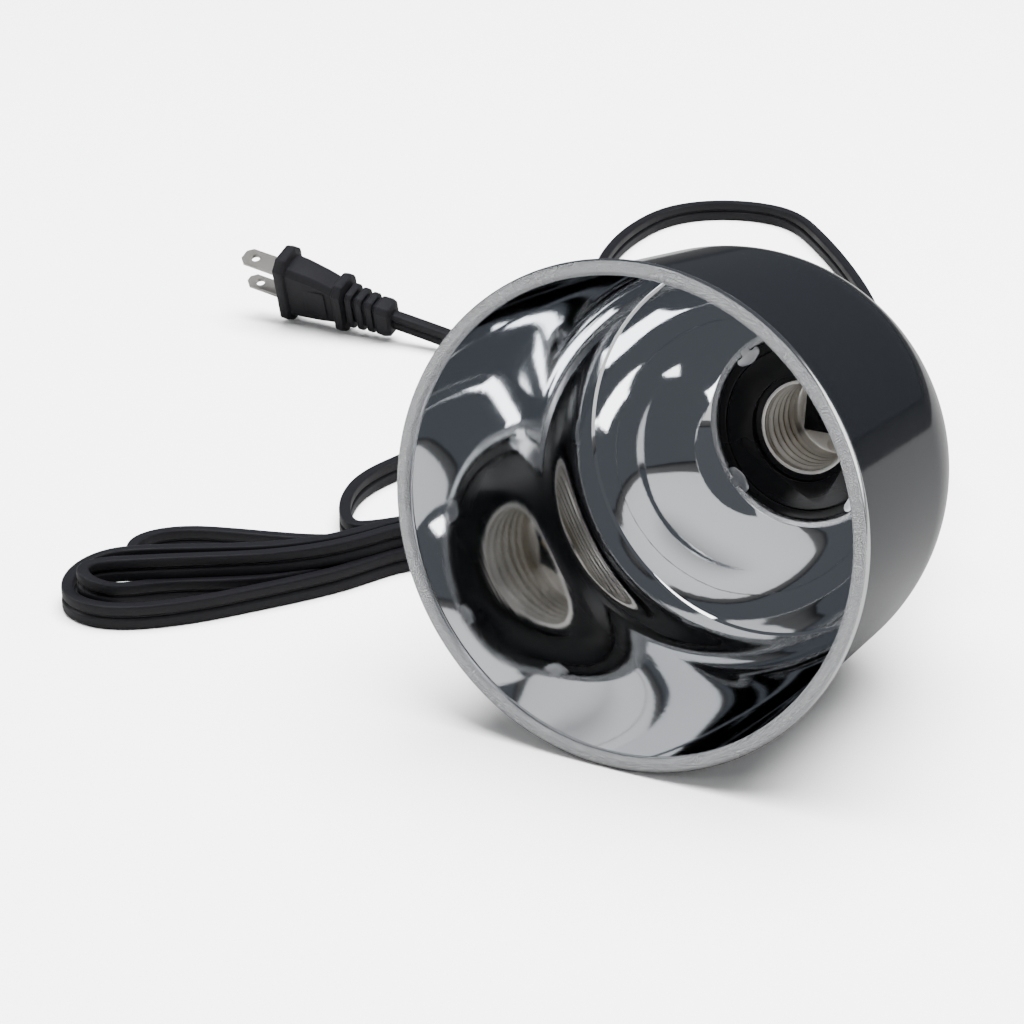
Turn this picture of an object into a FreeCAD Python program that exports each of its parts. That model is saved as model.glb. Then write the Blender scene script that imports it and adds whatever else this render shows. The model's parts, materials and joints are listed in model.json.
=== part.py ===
"""Deep dome heat lamp lying on its side, with its flat cord and plug.

Row frame: millimetres, +Z up, mouth towards -Y, origin under the middle of the lamp.
Lamp frame: +Z runs from the mouth plane into the dome, and the lamp frame is tipped
until the rim bead and the dome both touch the floor.
Holder frame: the lamp frame moved to the seat on which the lampholder flange rests.
Plug frame: +Z points out of the plug's face along its blades, +X across the pair.
"""
import FreeCAD, Part

import math
import os
import re

import Sketcher

Vector = FreeCAD.Vector
Placement = FreeCAD.Placement
Rotation = FreeCAD.Rotation

doc = FreeCAD.newDocument("heat_lamp")

# ---------------------------------------------------------------- driving dimensions
SIZES = [
    # reflector
    ("dome_radius", 62.5), ("dome_centre", 64.0), ("wall_taper", 3.75),
    ("sheet", 0.9), ("bead_radius", 2.2), ("bead_overhang", 1.12), ("rim_land", 0.25),
    ("crease_height", 90.0), ("crease_step", 0.5),
    ("opening_radius", 27.9), ("lip_width", 2.0), ("lip_height", 0.7),
    ("seat_recess", 3.1), ("seat_bore", 24.6),
    ("tab_count", 4), ("tab_length", 4.4), ("tab_half_width", 4.3), ("tab_neck", 1.5),
    ("tab_gap", 0.1),
    # lampholder
    ("slide_gap", 0.3), ("groove_width", 0.4), ("gasket", 0.8),
    ("flange", 2.5), ("counterbore", 1.2), ("housing_wall", 2.5), ("housing_length", 30.0),
    ("insert_lip", 0.1), ("recess_margin", 3.8), ("recess_floor", -0.6),
    ("insert_back", 27.4), ("pocket_floor", 25.8), ("pocket_half_width", 4.0),
    ("pocket_near", 6.2), ("pocket_far", 10.5),
    ("thread_radius", 12.4), ("thread_depth", 0.85), ("thread_pitch", 3.63),
    ("thread_land", 1.2), ("thread_start", 1.2), ("shell_sheet", 0.45),
    ("shell_floor", 23.2), ("window_half_length", 10.5), ("window_half_width", 7.5),
    ("shell_rivet_offset", 10.2), ("rivet_radius", 1.25), ("rivet_head", 0.7),
    ("contact_rivet_offset", 8.0), ("contact_sheet", 0.5), ("contact_half_width", 3.0),
    ("hinge_offset", 4.5), ("contact_rise", 3.9), ("contact_reach", 7.0),
    ("terminal_sheet", 0.8), ("live_screw_offset", 13.6), ("neutral_screw_offset", 10.0),
    ("terminal_screw_radius", 1.6), ("terminal_head_radius", 3.1), ("terminal_head", 1.8),
    ("lug_sheet", 0.7), ("fit", 0.1),
    # rear cap
    ("cap_straight", 6.0), ("cap_taper", 10.0), ("cap_end_radius", 17.8), ("cap_wall", 2.2),
    ("spigot", 2.0), ("cap_screw_offset", 18.6), ("cap_screw_radius", 1.5),
    ("cap_head_radius", 2.9), ("cap_head", 2.0), ("cap_head_seat", 8.5), ("boss_radius", 4.0),
    ("nut_radius", 2.2), ("nut_length", 5.0),
    ("vent_count", 8), ("vent_width", 2.2), ("vent_length", 7.0),
    # strain relief and cord
    ("bushing_neck", 5.0), ("bushing_head", 7.5), ("bushing_shoulder", 3.0),
    ("bushing_end", 4.6), ("bushing_length", 21.6), ("lead_radius", 1.5),
    ("cord_width", 7.4), ("cord_lift", 0.3), ("hank_height", 15.2),
    # plug
    ("flange_half_length", 15.5), ("flange_half_width", 7.5), ("plug_flange", 4.5),
    ("grip_length", 19.5), ("collar", 4.0), ("relief_length", 13.0), ("plug_end", 6.0),
    ("blade_gap", 12.7), ("blade_length", 17.0), ("blade_sheet", 1.5),
    ("wide_blade_half", 3.95), ("narrow_blade_half", 3.15), ("blade_hole", 1.6),
    ("blade_hole_height", 11.9), ("blade_root", 8.0),
]

sheet = doc.addObject("Spreadsheet::Sheet", "sizes")
for row, (alias, number) in enumerate(SIZES, start=1):
    sheet.set("A%d" % row, alias)
    sheet.set("B%d" % row, str(number))
    sheet.setAlias("B%d" % row, alias)
doc.recompute()
ALIASES = {alias for alias, number in SIZES}


def bound(expression):
    """The expression with each named size written as a reference to the sheet."""
    return re.sub(r"[a-z_]+", lambda word: "sizes." + word.group() if word.group() in ALIASES
                  else word.group(), expression)


def value(expression):
    """The expression's number for the sizes as they are now."""
    return float(sheet.evalExpression(bound(expression)))


# ---------------------------------------------------------------- worked-out expressions
INNER = "(dome_radius - sheet)"
CROWN = "(dome_radius - sheet - crease_step)"
LIP_RADIUS = "(opening_radius + lip_width)"
LIP = "(dome_centre + sqrt(%s^2 - %s^2))" % (CROWN, LIP_RADIUS)
SEAT = "(%s + seat_recess)" % LIP
BEAD = "((dome_radius + (dome_centre - bead_radius) * sin(wall_taper)) / cos(wall_taper))"
BEAD_CENTRE = "(%s + bead_overhang)" % BEAD
WALL = "(sheet / cos(wall_taper))"
NECK_WALL = "(opening_radius + sheet + fit)"

TUBE = "(seat_bore - slide_gap)"
BORE = "(%s - housing_wall)" % TUBE
FLANGE_RADIUS = "(opening_radius - groove_width)"
FRONT = "(-gasket - flange)"
COUNTERBORE = "(seat_bore + fit)"
INSERT = "(%s - slide_gap)" % BORE
RECESS = "(thread_radius + recess_margin)"
INSERT_FRONT = "(%s - insert_lip)" % FRONT
INSERT_FLANGE = "(%s - groove_width)" % COUNTERBORE
INSERT_STOP = "(%s + counterbore)" % FRONT
SHELL_OUT = "(thread_radius + thread_depth + shell_sheet)"
SHELL_BORE = "(%s + fit * 2)" % SHELL_OUT
SHELL_LIP = "(%s + fit * 6)" % SHELL_OUT
TERMINAL_BACK = "(insert_back + terminal_sheet)"
LUG_BACK = "(%s + lug_sheet)" % TERMINAL_BACK
CAP_SHOULDER = "(housing_length + cap_straight)"
CAP_BACK = "(%s + cap_taper)" % CAP_SHOULDER
CAP_HEAD_SEAT = "(housing_length + cap_head_seat)"
PLUG_GRIP = "(-plug_flange - grip_length)"
PLUG_COLLAR = "(%s - collar)" % PLUG_GRIP
PLUG_RELIEF = "(%s - relief_length)" % PLUG_COLLAR
PLUG_BACK = "(%s - plug_end)" % PLUG_RELIEF

# ---------------------------------------------------------------- where the lamp lies
bead_centre = value(BEAD_CENTRE)
bead_radius = value("bead_radius")
dome_radius = value("dome_radius")
dome_centre = value("dome_centre")
bead_to_dome = dome_centre - bead_radius
TILT = (math.acos((dome_radius - bead_radius) / math.hypot(bead_centre, bead_to_dome))
        - math.atan2(bead_to_dome, bead_centre))
seat = value(SEAT)
bushing_tip = seat + value(CAP_BACK) + value("bushing_length")
front = bead_radius * math.cos(TILT) - bead_centre * math.sin(TILT) - bead_radius
rear = bushing_tip * math.cos(TILT) + value("bushing_end") * math.sin(TILT)
MOUTH = Vector(0, -(front + rear) / 2, dome_radius + dome_centre * math.sin(TILT))
LAMP = Placement(MOUTH, Rotation(Vector(1, 0, 0), -90 - math.degrees(TILT)))
HOLDER = LAMP.multiply(Placement(Vector(0, 0, seat), Rotation()))

# ---------------------------------------------------------------- drawing helpers


def origin_feature(body, role):
    """One of the planes or axes that every body brings with it."""
    return [feature for feature in body.Origin.OriginFeatures if feature.Role == role][0]


def new_sketch(body, label, role, offset=None):
    """An empty sketch on one of the body's own origin planes, or parallel to it."""
    sketch = body.newObject("Sketcher::SketchObject", label)
    sketch.AttachmentSupport = [(origin_feature(body, role), "")]
    sketch.MapMode = "FlatFace"
    if offset is not None:
        sketch.setExpression("AttachmentOffset.Base.z", bound(offset))
    return sketch


def dimension(sketch, kind, edge, end, expression):
    """Ties one coordinate of an edge's end to the sheet."""
    if expression == "0":
        axis = -2 if kind == "DistanceX" else -1
        sketch.addConstraint(Sketcher.Constraint("PointOnObject", edge, end, axis))
        return
    index = sketch.addConstraint(
        Sketcher.Constraint(kind, -1, 1, edge, end, value(expression)))
    sketch.setExpression("Constraints[%d]" % index, bound(expression))


def draw_outline(sketch, corners, arcs=()):
    """A closed outline. A side whose number is in arcs is an arc centred on the vertical axis."""
    places = [Vector(value(across), value(up), 0) for across, up in corners]
    ends = []
    for number, place in enumerate(places):
        following = places[(number + 1) % len(places)]
        if number not in arcs:
            edge = sketch.addGeometry(Part.LineSegment(place, following), False)
            ends.append((edge, 1, 2))
            continue
        rise = ((place.x ** 2 + place.y ** 2 - following.x ** 2 - following.y ** 2)
                / (2 * (place.y - following.y)))
        centre = Vector(0, rise, 0)
        circle = Part.Circle(centre, Vector(0, 0, 1), (place - centre).Length)
        start = math.atan2(place.y - rise, place.x)
        stop = math.atan2(following.y - rise, following.x)
        arc = Part.ArcOfCircle(circle, min(start, stop), max(start, stop))
        edge = sketch.addGeometry(arc, False)
        ends.append((edge, 1, 2) if start < stop else (edge, 2, 1))
        sketch.addConstraint(Sketcher.Constraint("PointOnObject", edge, 3, -2))
    for number, (edge, first, last) in enumerate(ends):
        following = ends[(number + 1) % len(ends)]
        sketch.addConstraint(
            Sketcher.Constraint("Coincident", edge, last, following[0], following[1]))
    for (edge, first, last), (across, up) in zip(ends, corners):
        dimension(sketch, "DistanceX", edge, first, across)
        dimension(sketch, "DistanceY", edge, first, up)


def draw_circle(sketch, across, up, radius):
    centre = Vector(value(across), value(up), 0)
    edge = sketch.addGeometry(Part.Circle(centre, Vector(0, 0, 1), value(radius)), False)
    index = sketch.addConstraint(Sketcher.Constraint("Radius", edge, value(radius)))
    sketch.setExpression("Constraints[%d]" % index, bound(radius))
    dimension(sketch, "DistanceX", edge, 3, across)
    dimension(sketch, "DistanceY", edge, 3, up)


def new_body(label):
    body = doc.addObject("PartDesign::Body", label)
    body.Label = label
    return body


def revolve(body, label, corners, arcs=()):
    """Turns an outline of (radius, height) corners about the body's vertical axis."""
    sketch = new_sketch(body, label + "_outline", "XZ_Plane")
    draw_outline(sketch, corners, arcs)
    feature = body.newObject("PartDesign::Revolution", label + "_turned")
    feature.Profile = sketch
    feature.ReferenceAxis = (sketch, ["V_Axis"])
    feature.Angle = 360
    return feature


def pad(body, label, corners, base, length):
    """A straight slab over an outline that lies at the height base."""
    sketch = new_sketch(body, label + "_outline", "XY_Plane", base)
    draw_outline(sketch, corners)
    feature = body.newObject("PartDesign::Pad", label + "_pad")
    feature.Profile = sketch
    feature.setExpression("Length", bound(length))
    return feature


def cylinder(label, radius, low, high, across="0", up="0"):
    """A Part cylinder along the vertical axis from low to high."""
    solid = doc.addObject("Part::Cylinder", label)
    solid.setExpression("Radius", bound(radius))
    solid.setExpression("Height", bound("%s - (%s)" % (high, low)))
    solid.setExpression("Placement.Base.x", bound(across))
    solid.setExpression("Placement.Base.y", bound(up))
    solid.setExpression("Placement.Base.z", bound(low))
    return solid


def block(label, lows, highs):
    """A Part box between two corners."""
    solid = doc.addObject("Part::Box", label)
    for side, axis, low, high in zip(("Length", "Width", "Height"), "xyz", lows, highs):
        solid.setExpression(side, bound("%s - (%s)" % (high, low)))
        solid.setExpression("Placement.Base." + axis, bound(low))
    return solid


def joined(label, solids):
    if len(solids) == 1:
        return solids[0]
    union = doc.addObject("Part::MultiFuse", label)
    union.Shapes = solids
    return union


def group(label, solids):
    """Several separate solids of one kind in one node."""
    compound = doc.addObject("Part::Compound", label)
    compound.Links = solids
    compound.Label = label
    return compound


def cut(label, base, tools):
    result = doc.addObject("Part::Cut", label)
    result.Base = base
    result.Tool = joined(label + "_tools", tools)
    result.Label = label
    return result


nodes = []


def finished(node, place):
    """Sets a finished sub-part in its place in the row frame."""
    node.Placement = place
    nodes.append(node)
    return node


# ---------------------------------------------------------------- reflector

EAR_TURN = 45.0  # degrees: the ears stand half-way between up, down and the sides


def reflector():
    body = new_body("reflector_spinning")
    wall_end = ("%s * cos(wall_taper)", "dome_centre + %s * sin(wall_taper)")
    crease = "(crease_height + crease_step)"
    outline = [
        ("%s - %s" % (BEAD, WALL), "bead_radius"),
        (wall_end[0] % INNER, wall_end[1] % INNER),
        ("sqrt(%s^2 - (crease_height - dome_centre)^2)" % INNER, "crease_height"),
        ("sqrt(%s^2 - (%s - dome_centre)^2)" % (CROWN, crease), crease),
        (LIP_RADIUS, LIP),
        ("%s - lip_height / 2" % LIP_RADIUS, "%s - lip_height" % LIP),
        ("opening_radius + lip_height / 2", "%s - lip_height" % LIP),
        ("opening_radius", LIP),
        ("opening_radius", SEAT),
        ("seat_bore", SEAT),
        ("seat_bore", "%s + sheet" % SEAT),
        (NECK_WALL, "%s + sheet" % SEAT),
        (NECK_WALL, "dome_centre + sqrt(dome_radius^2 - %s^2)" % NECK_WALL),
        (wall_end[0] % "dome_radius", wall_end[1] % "dome_radius"),
        (BEAD, "bead_radius"),
    ]
    revolve(body, "sheet", outline, arcs=(1, 3, 12))
    bead = new_sketch(body, "bead_outline", "XZ_Plane")
    draw_circle(bead, BEAD_CENTRE, "bead_radius", "bead_radius")
    rolled = body.newObject("PartDesign::Revolution", "bead_turned")
    rolled.Profile = bead
    rolled.ReferenceAxis = (bead, ["V_Axis"])
    rolled.Angle = 360

    # Ears left standing on the lip and bent down over the lampholder flange.
    face = "(%s + %s - tab_gap)" % (SEAT, FRONT)
    reach = "(opening_radius + lip_width / 2)"
    inner = "(%s - lip_width / 2 - tab_length)" % reach
    ear = [("tab_neck", reach), ("tab_neck", "%s + tab_length * 0.85" % inner),
           ("tab_half_width", "%s + tab_length * 0.62" % inner),
           ("tab_half_width * 0.9", "%s + tab_length * 0.25" % inner),
           ("tab_half_width * 0.3", inner)]
    left = [("-(%s)" % across, up) for across, up in reversed(ear)]
    pad(body, "ear", ear + left, "%s - sheet * 0.6" % face, "sheet * 0.6")
    doc.recompute()
    ears = body.newObject("PartDesign::PolarPattern", "ears")
    ears.Originals = [body.Tip]
    ears.Axis = (origin_feature(body, "Z_Axis"), [""])
    ears.Angle = 360
    ears.setExpression("Occurrences", bound("tab_count"))
    body.Tip = ears
    trim = cylinder("rim_trim", "%s + bead_radius * 2" % BEAD_CENTRE, "-1", "rim_land")
    turn = Rotation(Vector(0, 0, 1), EAR_TURN)
    return finished(cut("reflector", body, [trim]), LAMP.multiply(Placement(Vector(), turn)))


# ---------------------------------------------------------------- lampholder


def gasket():
    washer = cut("gasket", cylinder("gasket_disc", FLANGE_RADIUS, "-gasket", "0"),
                 [cylinder("gasket_hole", COUNTERBORE, "-gasket - 1", "1")])
    return finished(washer, HOLDER)


def housing():
    body = new_body("housing")
    revolve(body, "housing", [
        (COUNTERBORE, FRONT), (FLANGE_RADIUS, FRONT), (FLANGE_RADIUS, "-gasket"),
        (TUBE, "-gasket"), (TUBE, "housing_length"), (BORE, "housing_length"),
        (BORE, INSERT_STOP), (COUNTERBORE, INSERT_STOP)])
    return finished(body, HOLDER)


def socket_insert():
    body = new_body("insert_blank")
    revolve(body, "insert", [
        (RECESS, INSERT_FRONT), (INSERT_FLANGE, INSERT_FRONT),
        (INSERT_FLANGE, INSERT_STOP), (INSERT, INSERT_STOP), (INSERT, "insert_back"),
        ("0", "insert_back"), ("0", "shell_floor"), (SHELL_BORE, "shell_floor"),
        (SHELL_BORE, "recess_floor"), (RECESS, "recess_floor")])
    through = "insert_back + 1"
    holes = [block("leaf_pocket", ("-pocket_near", "-pocket_half_width", "shell_floor - 1"),
                   ("pocket_far", "pocket_half_width", "pocket_floor")),
             cylinder("contact_rivet_hole", "rivet_radius + fit", "shell_floor", through,
                      "contact_rivet_offset")]
    for side, sign in (("upper", "-"), ("lower", "")):
        holes.append(cylinder(side + "_rivet_hole", "rivet_radius + fit", "shell_floor - 1",
                              through, "0", sign + "shell_rivet_offset"))
        holes.append(cylinder(side + "_nut_hole", "nut_radius + fit",
                              "insert_back - nut_length", through, "0",
                              sign + "cap_screw_offset"))
    for side, place in (("live", "live_screw_offset"), ("neutral", "-neutral_screw_offset")):
        holes.append(cylinder(side + "_screw_hole", "terminal_screw_radius + fit",
                              "insert_back - 3.2", through, place))
    return finished(cut("socket_insert", body, holes), HOLDER)


def thread_outline():
    """The rolled shell: flat crests and flat roots, one pair for each turn of the thread."""
    turns = 5
    slope = "(thread_pitch / 2 - thread_land)"
    crest = "thread_radius"
    root = "thread_radius + thread_depth"
    inside = [(root, "thread_start - %s" % slope)]
    for turn in range(turns):
        foot = "thread_start + thread_pitch * %d" % turn
        inside += [(crest, foot), (crest, foot + " + thread_land"),
                   (root, foot + " + thread_pitch / 2"),
                   (root, foot + " + thread_pitch / 2 + thread_land")]
    outside = [(across + " + shell_sheet", up) for across, up in reversed(inside)]
    lip = "recess_floor - shell_sheet"
    base = "shell_floor - shell_sheet"
    return ([(root, lip)] + inside + [(root, base), ("0", base), ("0", "shell_floor"),
            (root + " + shell_sheet", "shell_floor")] + outside
            + [(root + " + shell_sheet", "recess_floor"), (SHELL_LIP, "recess_floor"),
               (SHELL_LIP, lip)])


def screw_shell():
    body = new_body("shell_blank")
    revolve(body, "shell", thread_outline())
    over = "shell_floor + 1"
    under = "shell_floor - 1"
    holes = [block("contact_window", ("-window_half_length", "-window_half_width", under),
                   ("window_half_length", "window_half_width", over))]
    for side, sign in (("upper", "-"), ("lower", "")):
        holes.append(cylinder(side + "_shell_hole", "rivet_radius + fit", under, over,
                              "0", sign + "shell_rivet_offset"))
    return finished(cut("screw_shell", body, holes), HOLDER)


def rivet(label, low, high, across, up, tail="rivet_radius + 0.9"):
    """A headed rivet that clamps whatever lies between low and high."""
    place = (across, up)
    return joined(label, [
        cylinder(label + "_shaft", "rivet_radius", low, high, *place),
        cylinder(label + "_head", "rivet_radius + 1.0", "%s - rivet_head" % low, low, *place),
        cylinder(label + "_tail", tail, high, "%s + rivet_head" % high, *place)])


def shell_rivets():
    low = "(shell_floor - shell_sheet)"
    pair = [rivet(side + "_shell_rivet", low, TERMINAL_BACK, "0", sign + "shell_rivet_offset")
            for side, sign in (("upper", "-"), ("lower", ""))]
    return finished(group("shell_rivets", pair), HOLDER)


def contact_foot():
    plate = block("foot_plate",
                  ("hinge_offset + fit * 4", "-contact_half_width", "pocket_floor - contact_sheet"),
                  ("pocket_far - fit", "contact_half_width", "pocket_floor"))
    hole = cylinder("foot_hole", "rivet_radius + fit", "pocket_floor - 2", "pocket_floor + 1",
                    "contact_rivet_offset")
    return finished(cut("contact_foot", plate, [hole]), HOLDER)


def centre_contact():
    """The springy arm: it climbs to the lamp's contact and turns down again at its tip."""
    body = new_body("centre_contact")
    root = ("hinge_offset", "pocket_floor - contact_sheet")
    top = ("(hinge_offset - contact_reach)", "(%s - contact_rise)" % root[1])
    tip = ("(%s - contact_rise * 0.7)" % top[0], "(%s + contact_rise * 0.3)" % top[1])
    sketch = new_sketch(body, "arm_outline", "XZ_Plane")
    draw_outline(sketch, [
        root, ("%s + contact_sheet / 2" % top[0], top[1]),
        ("%s - contact_sheet / 2" % top[0], top[1]), tip,
        ("%s + contact_sheet * 0.3" % tip[0], "%s + contact_sheet" % tip[1]),
        ("%s" % top[0], "%s + contact_sheet * 1.1" % top[1]),
        ("%s - contact_sheet * 0.4" % root[0], "%s + contact_sheet" % root[1])])
    arm = body.newObject("PartDesign::Pad", "arm")
    arm.Profile = sketch
    arm.setExpression("Length", bound("contact_half_width * 1.8"))
    arm.Midplane = True
    return finished(body, HOLDER)


def contact_rivet():
    low = "(pocket_floor - contact_sheet)"
    return finished(group("contact_rivet", [
        rivet("leaf_rivet", low, TERMINAL_BACK, "contact_rivet_offset", "0")]), HOLDER)


def live_terminal():
    plate = block("live_plate", ("contact_rivet_offset - 3", "-4.5", "insert_back"),
                  ("live_screw_offset + 3.4", "4.5", TERMINAL_BACK))
    holes = [cylinder("live_rivet_hole", "rivet_radius + fit", "insert_back - 1",
                      "insert_back + 2", "contact_rivet_offset"),
             cylinder("live_plate_hole", "terminal_screw_radius + fit", "insert_back - 1",
                      "insert_back + 2", "live_screw_offset")]
    return finished(cut("live_terminal", plate, holes), HOLDER)


def neutral_terminal():
    bridge = block("neutral_bridge", ("-3.5", "-shell_rivet_offset - 2.6", "insert_back"),
                   ("3.2", "shell_rivet_offset + 2.6", TERMINAL_BACK))
    tongue = block("neutral_tongue", ("-neutral_screw_offset - 3.8", "-4.5", "insert_back"),
                   ("-3", "4.5", TERMINAL_BACK))
    holes = [cylinder("neutral_plate_hole", "terminal_screw_radius + fit", "insert_back - 1",
                      "insert_back + 2", "-neutral_screw_offset")]
    for side, sign in (("upper", "-"), ("lower", "")):
        holes.append(cylinder(side + "_bridge_hole", "rivet_radius + fit", "insert_back - 1",
                              "insert_back + 2", "0", sign + "shell_rivet_offset"))
    plate = joined("neutral_plate", [bridge, tongue])
    return finished(cut("neutral_terminal", plate, holes), HOLDER)


TERMINAL_SCREWS = (("live", "live_screw_offset"), ("neutral", "-neutral_screw_offset"))


def terminal_screws():
    screws = []
    for side, place in TERMINAL_SCREWS:
        shaft = cylinder(side + "_screw_shaft", "terminal_screw_radius", "insert_back - 3",
                         LUG_BACK, place)
        head = cylinder(side + "_screw_head", "terminal_head_radius", LUG_BACK,
                        "%s + terminal_head" % LUG_BACK, place)
        slot = block(side + "_screw_slot",
                     ("%s - terminal_head_radius - 1" % place, "-0.4",
                      "%s + terminal_head * 0.5" % LUG_BACK),
                     ("%s + terminal_head_radius + 1" % place, "0.4",
                      "%s + terminal_head + 1" % LUG_BACK))
        screws.append(cut(side + "_screw", joined(side + "_screw_blank", [shaft, head]), [slot]))
    return finished(group("terminal_screws", screws), HOLDER)


def lead_lugs():
    """Ring lugs under the screw heads, each with a barrel bent up for its wire."""
    lugs = []
    for side, place in TERMINAL_SCREWS:
        ring = cylinder(side + "_lug_ring", "terminal_head_radius + 0.2", TERMINAL_BACK,
                        LUG_BACK, place)
        strap = block(side + "_lug_strap", ("%s - 1.6" % place, "-8", TERMINAL_BACK),
                      ("%s + 1.6" % place, "-2", LUG_BACK))
        barrel = block(side + "_lug_barrel", ("%s - 1.6" % place, "-8", TERMINAL_BACK),
                       ("%s + 1.6" % place, "-7.3", "%s + 4" % TERMINAL_BACK))
        hole = cylinder(side + "_lug_hole", "terminal_screw_radius + fit", "insert_back",
                        "insert_back + 4", place)
        lugs.append(cut(side + "_lug", joined(side + "_lug_blank", [ring, strap, barrel]),
                        [hole]))
    return finished(group("lead_lugs", lugs), HOLDER)


def rear_cap():
    body = new_body("cap_blank")
    revolve(body, "cap", [
        ("0", "housing_length - spigot"), ("%s - slide_gap" % BORE, "housing_length - spigot"),
        ("%s - slide_gap" % BORE, "housing_length"), (TUBE, "housing_length"),
        (TUBE, CAP_SHOULDER), ("cap_end_radius", CAP_BACK), ("0", CAP_BACK)])
    hollow = new_body("cap_hollow")
    revolve(hollow, "hollow", [
        ("0", "housing_length - spigot - 1"),
        ("%s - slide_gap - 1.6" % BORE, "housing_length - spigot - 1"),
        ("%s - slide_gap - 1.6" % BORE, "housing_length + 1"),
        ("%s - cap_wall" % TUBE, "housing_length + 2"),
        ("%s - cap_wall" % TUBE, CAP_SHOULDER),
        ("cap_end_radius - cap_wall * 0.6", "%s - cap_wall" % CAP_BACK),
        ("0", "%s - cap_wall" % CAP_BACK)])
    signs = (("upper", "-"), ("lower", ""))
    bosses = [cylinder(side + "_boss", "boss_radius", "housing_length - spigot", CAP_BACK,
                       "0", sign + "cap_screw_offset") for side, sign in signs]
    cavity = cut("cap_cavity", hollow, bosses)
    holes = [cavity, cylinder("bushing_hole", "bushing_neck + fit", CAP_SHOULDER,
                              "%s + 1" % CAP_BACK)]
    for side, sign in signs:
        place = ("0", sign + "cap_screw_offset")
        holes.append(cylinder(side + "_cap_hole", "cap_screw_radius + fit",
                              "housing_length - spigot - 1", CAP_BACK, *place))
        holes.append(cylinder(side + "_head_pocket", "cap_head_radius + fit", CAP_HEAD_SEAT,
                              "%s + 1" % CAP_BACK, *place))
    count = int(value("vent_count"))
    for number in range(count):
        slot = block("vent_%d" % number,
                     ("%s - cap_wall - 4" % TUBE, "-vent_width / 2",
                      "%s - vent_length / 2" % CAP_SHOULDER),
                     ("%s + 2" % TUBE, "vent_width / 2",
                      "%s + vent_length / 2" % CAP_SHOULDER))
        turned = doc.addObject("Part::Compound", "vent_turned_%d" % number)
        turned.Links = [slot]
        turned.Placement.Rotation = Rotation(Vector(0, 0, 1), (number + 0.5) * 360 / count)
        holes.append(turned)
    return finished(cut("rear_cap", body, holes), HOLDER)


def cap_screws():
    screws = []
    for side, sign in (("upper", "-"), ("lower", "")):
        place = ("0", sign + "cap_screw_offset")
        shaft = cylinder(side + "_cap_shaft", "cap_screw_radius",
                         "insert_back - nut_length + 0.5", CAP_HEAD_SEAT, *place)
        head = cylinder(side + "_cap_head", "cap_head_radius", CAP_HEAD_SEAT,
                        "%s + cap_head" % CAP_HEAD_SEAT, *place)
        slot = block(side + "_cap_slot", ("-4", "%s - 0.4" % place[1],
                                          "%s + cap_head * 0.5" % CAP_HEAD_SEAT),
                     ("4", "%s + 0.4" % place[1], "%s + cap_head + 1" % CAP_HEAD_SEAT))
        screws.append(cut(side + "_cap_screw", joined(side + "_cap_blank", [shaft, head]),
                          [slot]))
    return finished(group("cap_screws", screws), HOLDER)


def clamp_nuts():
    """Brass inserts moulded into the back of the socket insert."""
    nuts = []
    for side, sign in (("upper", "-"), ("lower", "")):
        place = ("0", sign + "cap_screw_offset")
        barrel = cylinder(side + "_nut", "nut_radius", "insert_back - nut_length",
                          "insert_back", *place)
        hole = cylinder(side + "_nut_thread", "cap_screw_radius + fit / 2",
                        "insert_back - nut_length - 1", "insert_back + 1", *place)
        nuts.append(cut(side + "_clamp_nut", barrel, [hole]))
    return finished(group("clamp_nuts", nuts), HOLDER)


def cord_bushing():
    body = new_body("cord_bushing")
    inner = "(%s - cap_wall)" % CAP_BACK
    revolve(body, "bushing", [
        ("0", "%s - 2" % inner), ("bushing_head", "%s - 2" % inner), ("bushing_head", inner),
        ("bushing_neck", inner), ("bushing_neck", CAP_BACK), ("bushing_head", CAP_BACK),
        ("bushing_head", "%s + bushing_shoulder" % CAP_BACK),
        ("bushing_neck + 1.2", "%s + bushing_shoulder + 2" % CAP_BACK),
        ("bushing_end", "%s + bushing_length" % CAP_BACK),
        ("0", "%s + bushing_length" % CAP_BACK)])
    return finished(body, HOLDER)


# ---------------------------------------------------------------- cords


def rounded_path(route):
    """Straight runs joined by tangent arcs, as large as the runs on each side allow."""
    corners = [Vector(*point) for point in route]
    edges = []
    radii = []
    at = corners[0]
    for before, corner, after in zip(corners, corners[1:], corners[2:]):
        inward = corner - before
        outward = after - corner
        half_turn = inward.getAngle(outward) / 2
        setback = 0.45 * min(inward.Length, outward.Length)
        radii.append(setback / math.tan(half_turn))
        inward.normalize()
        outward.normalize()
        start = corner - inward * setback
        stop = corner + outward * setback
        bisector = outward - inward
        bisector.normalize()
        sagitta = radii[-1] / math.cos(half_turn) - radii[-1]
        edges.append(Part.LineSegment(at, start).toShape())
        edges.append(Part.Arc(start, corner + bisector * sagitta, stop).toShape())
        at = stop
    edges.append(Part.LineSegment(at, corners[-1]).toShape())
    return Part.Wire(edges), radii


def tube(label, route, radius, place):
    path, radii = rounded_path(route)
    heading = Vector(*route[1]) - Vector(*route[0])
    section = Part.Wire([Part.makeCircle(radius, Vector(*route[0]), heading)])
    solid = path.makePipeShell([section], True, False)
    feature = doc.addObject("Part::Feature", label)
    feature.Label = label
    feature.Shape = solid
    finished(feature, place)
    expected = math.pi * radius ** 2 * path.Length
    print("%s: length %.1f, volume/expected %.4f, radii %s" % (
        label, path.Length, solid.Volume / expected, " ".join("%.0f" % r for r in radii)))
    return feature


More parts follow.
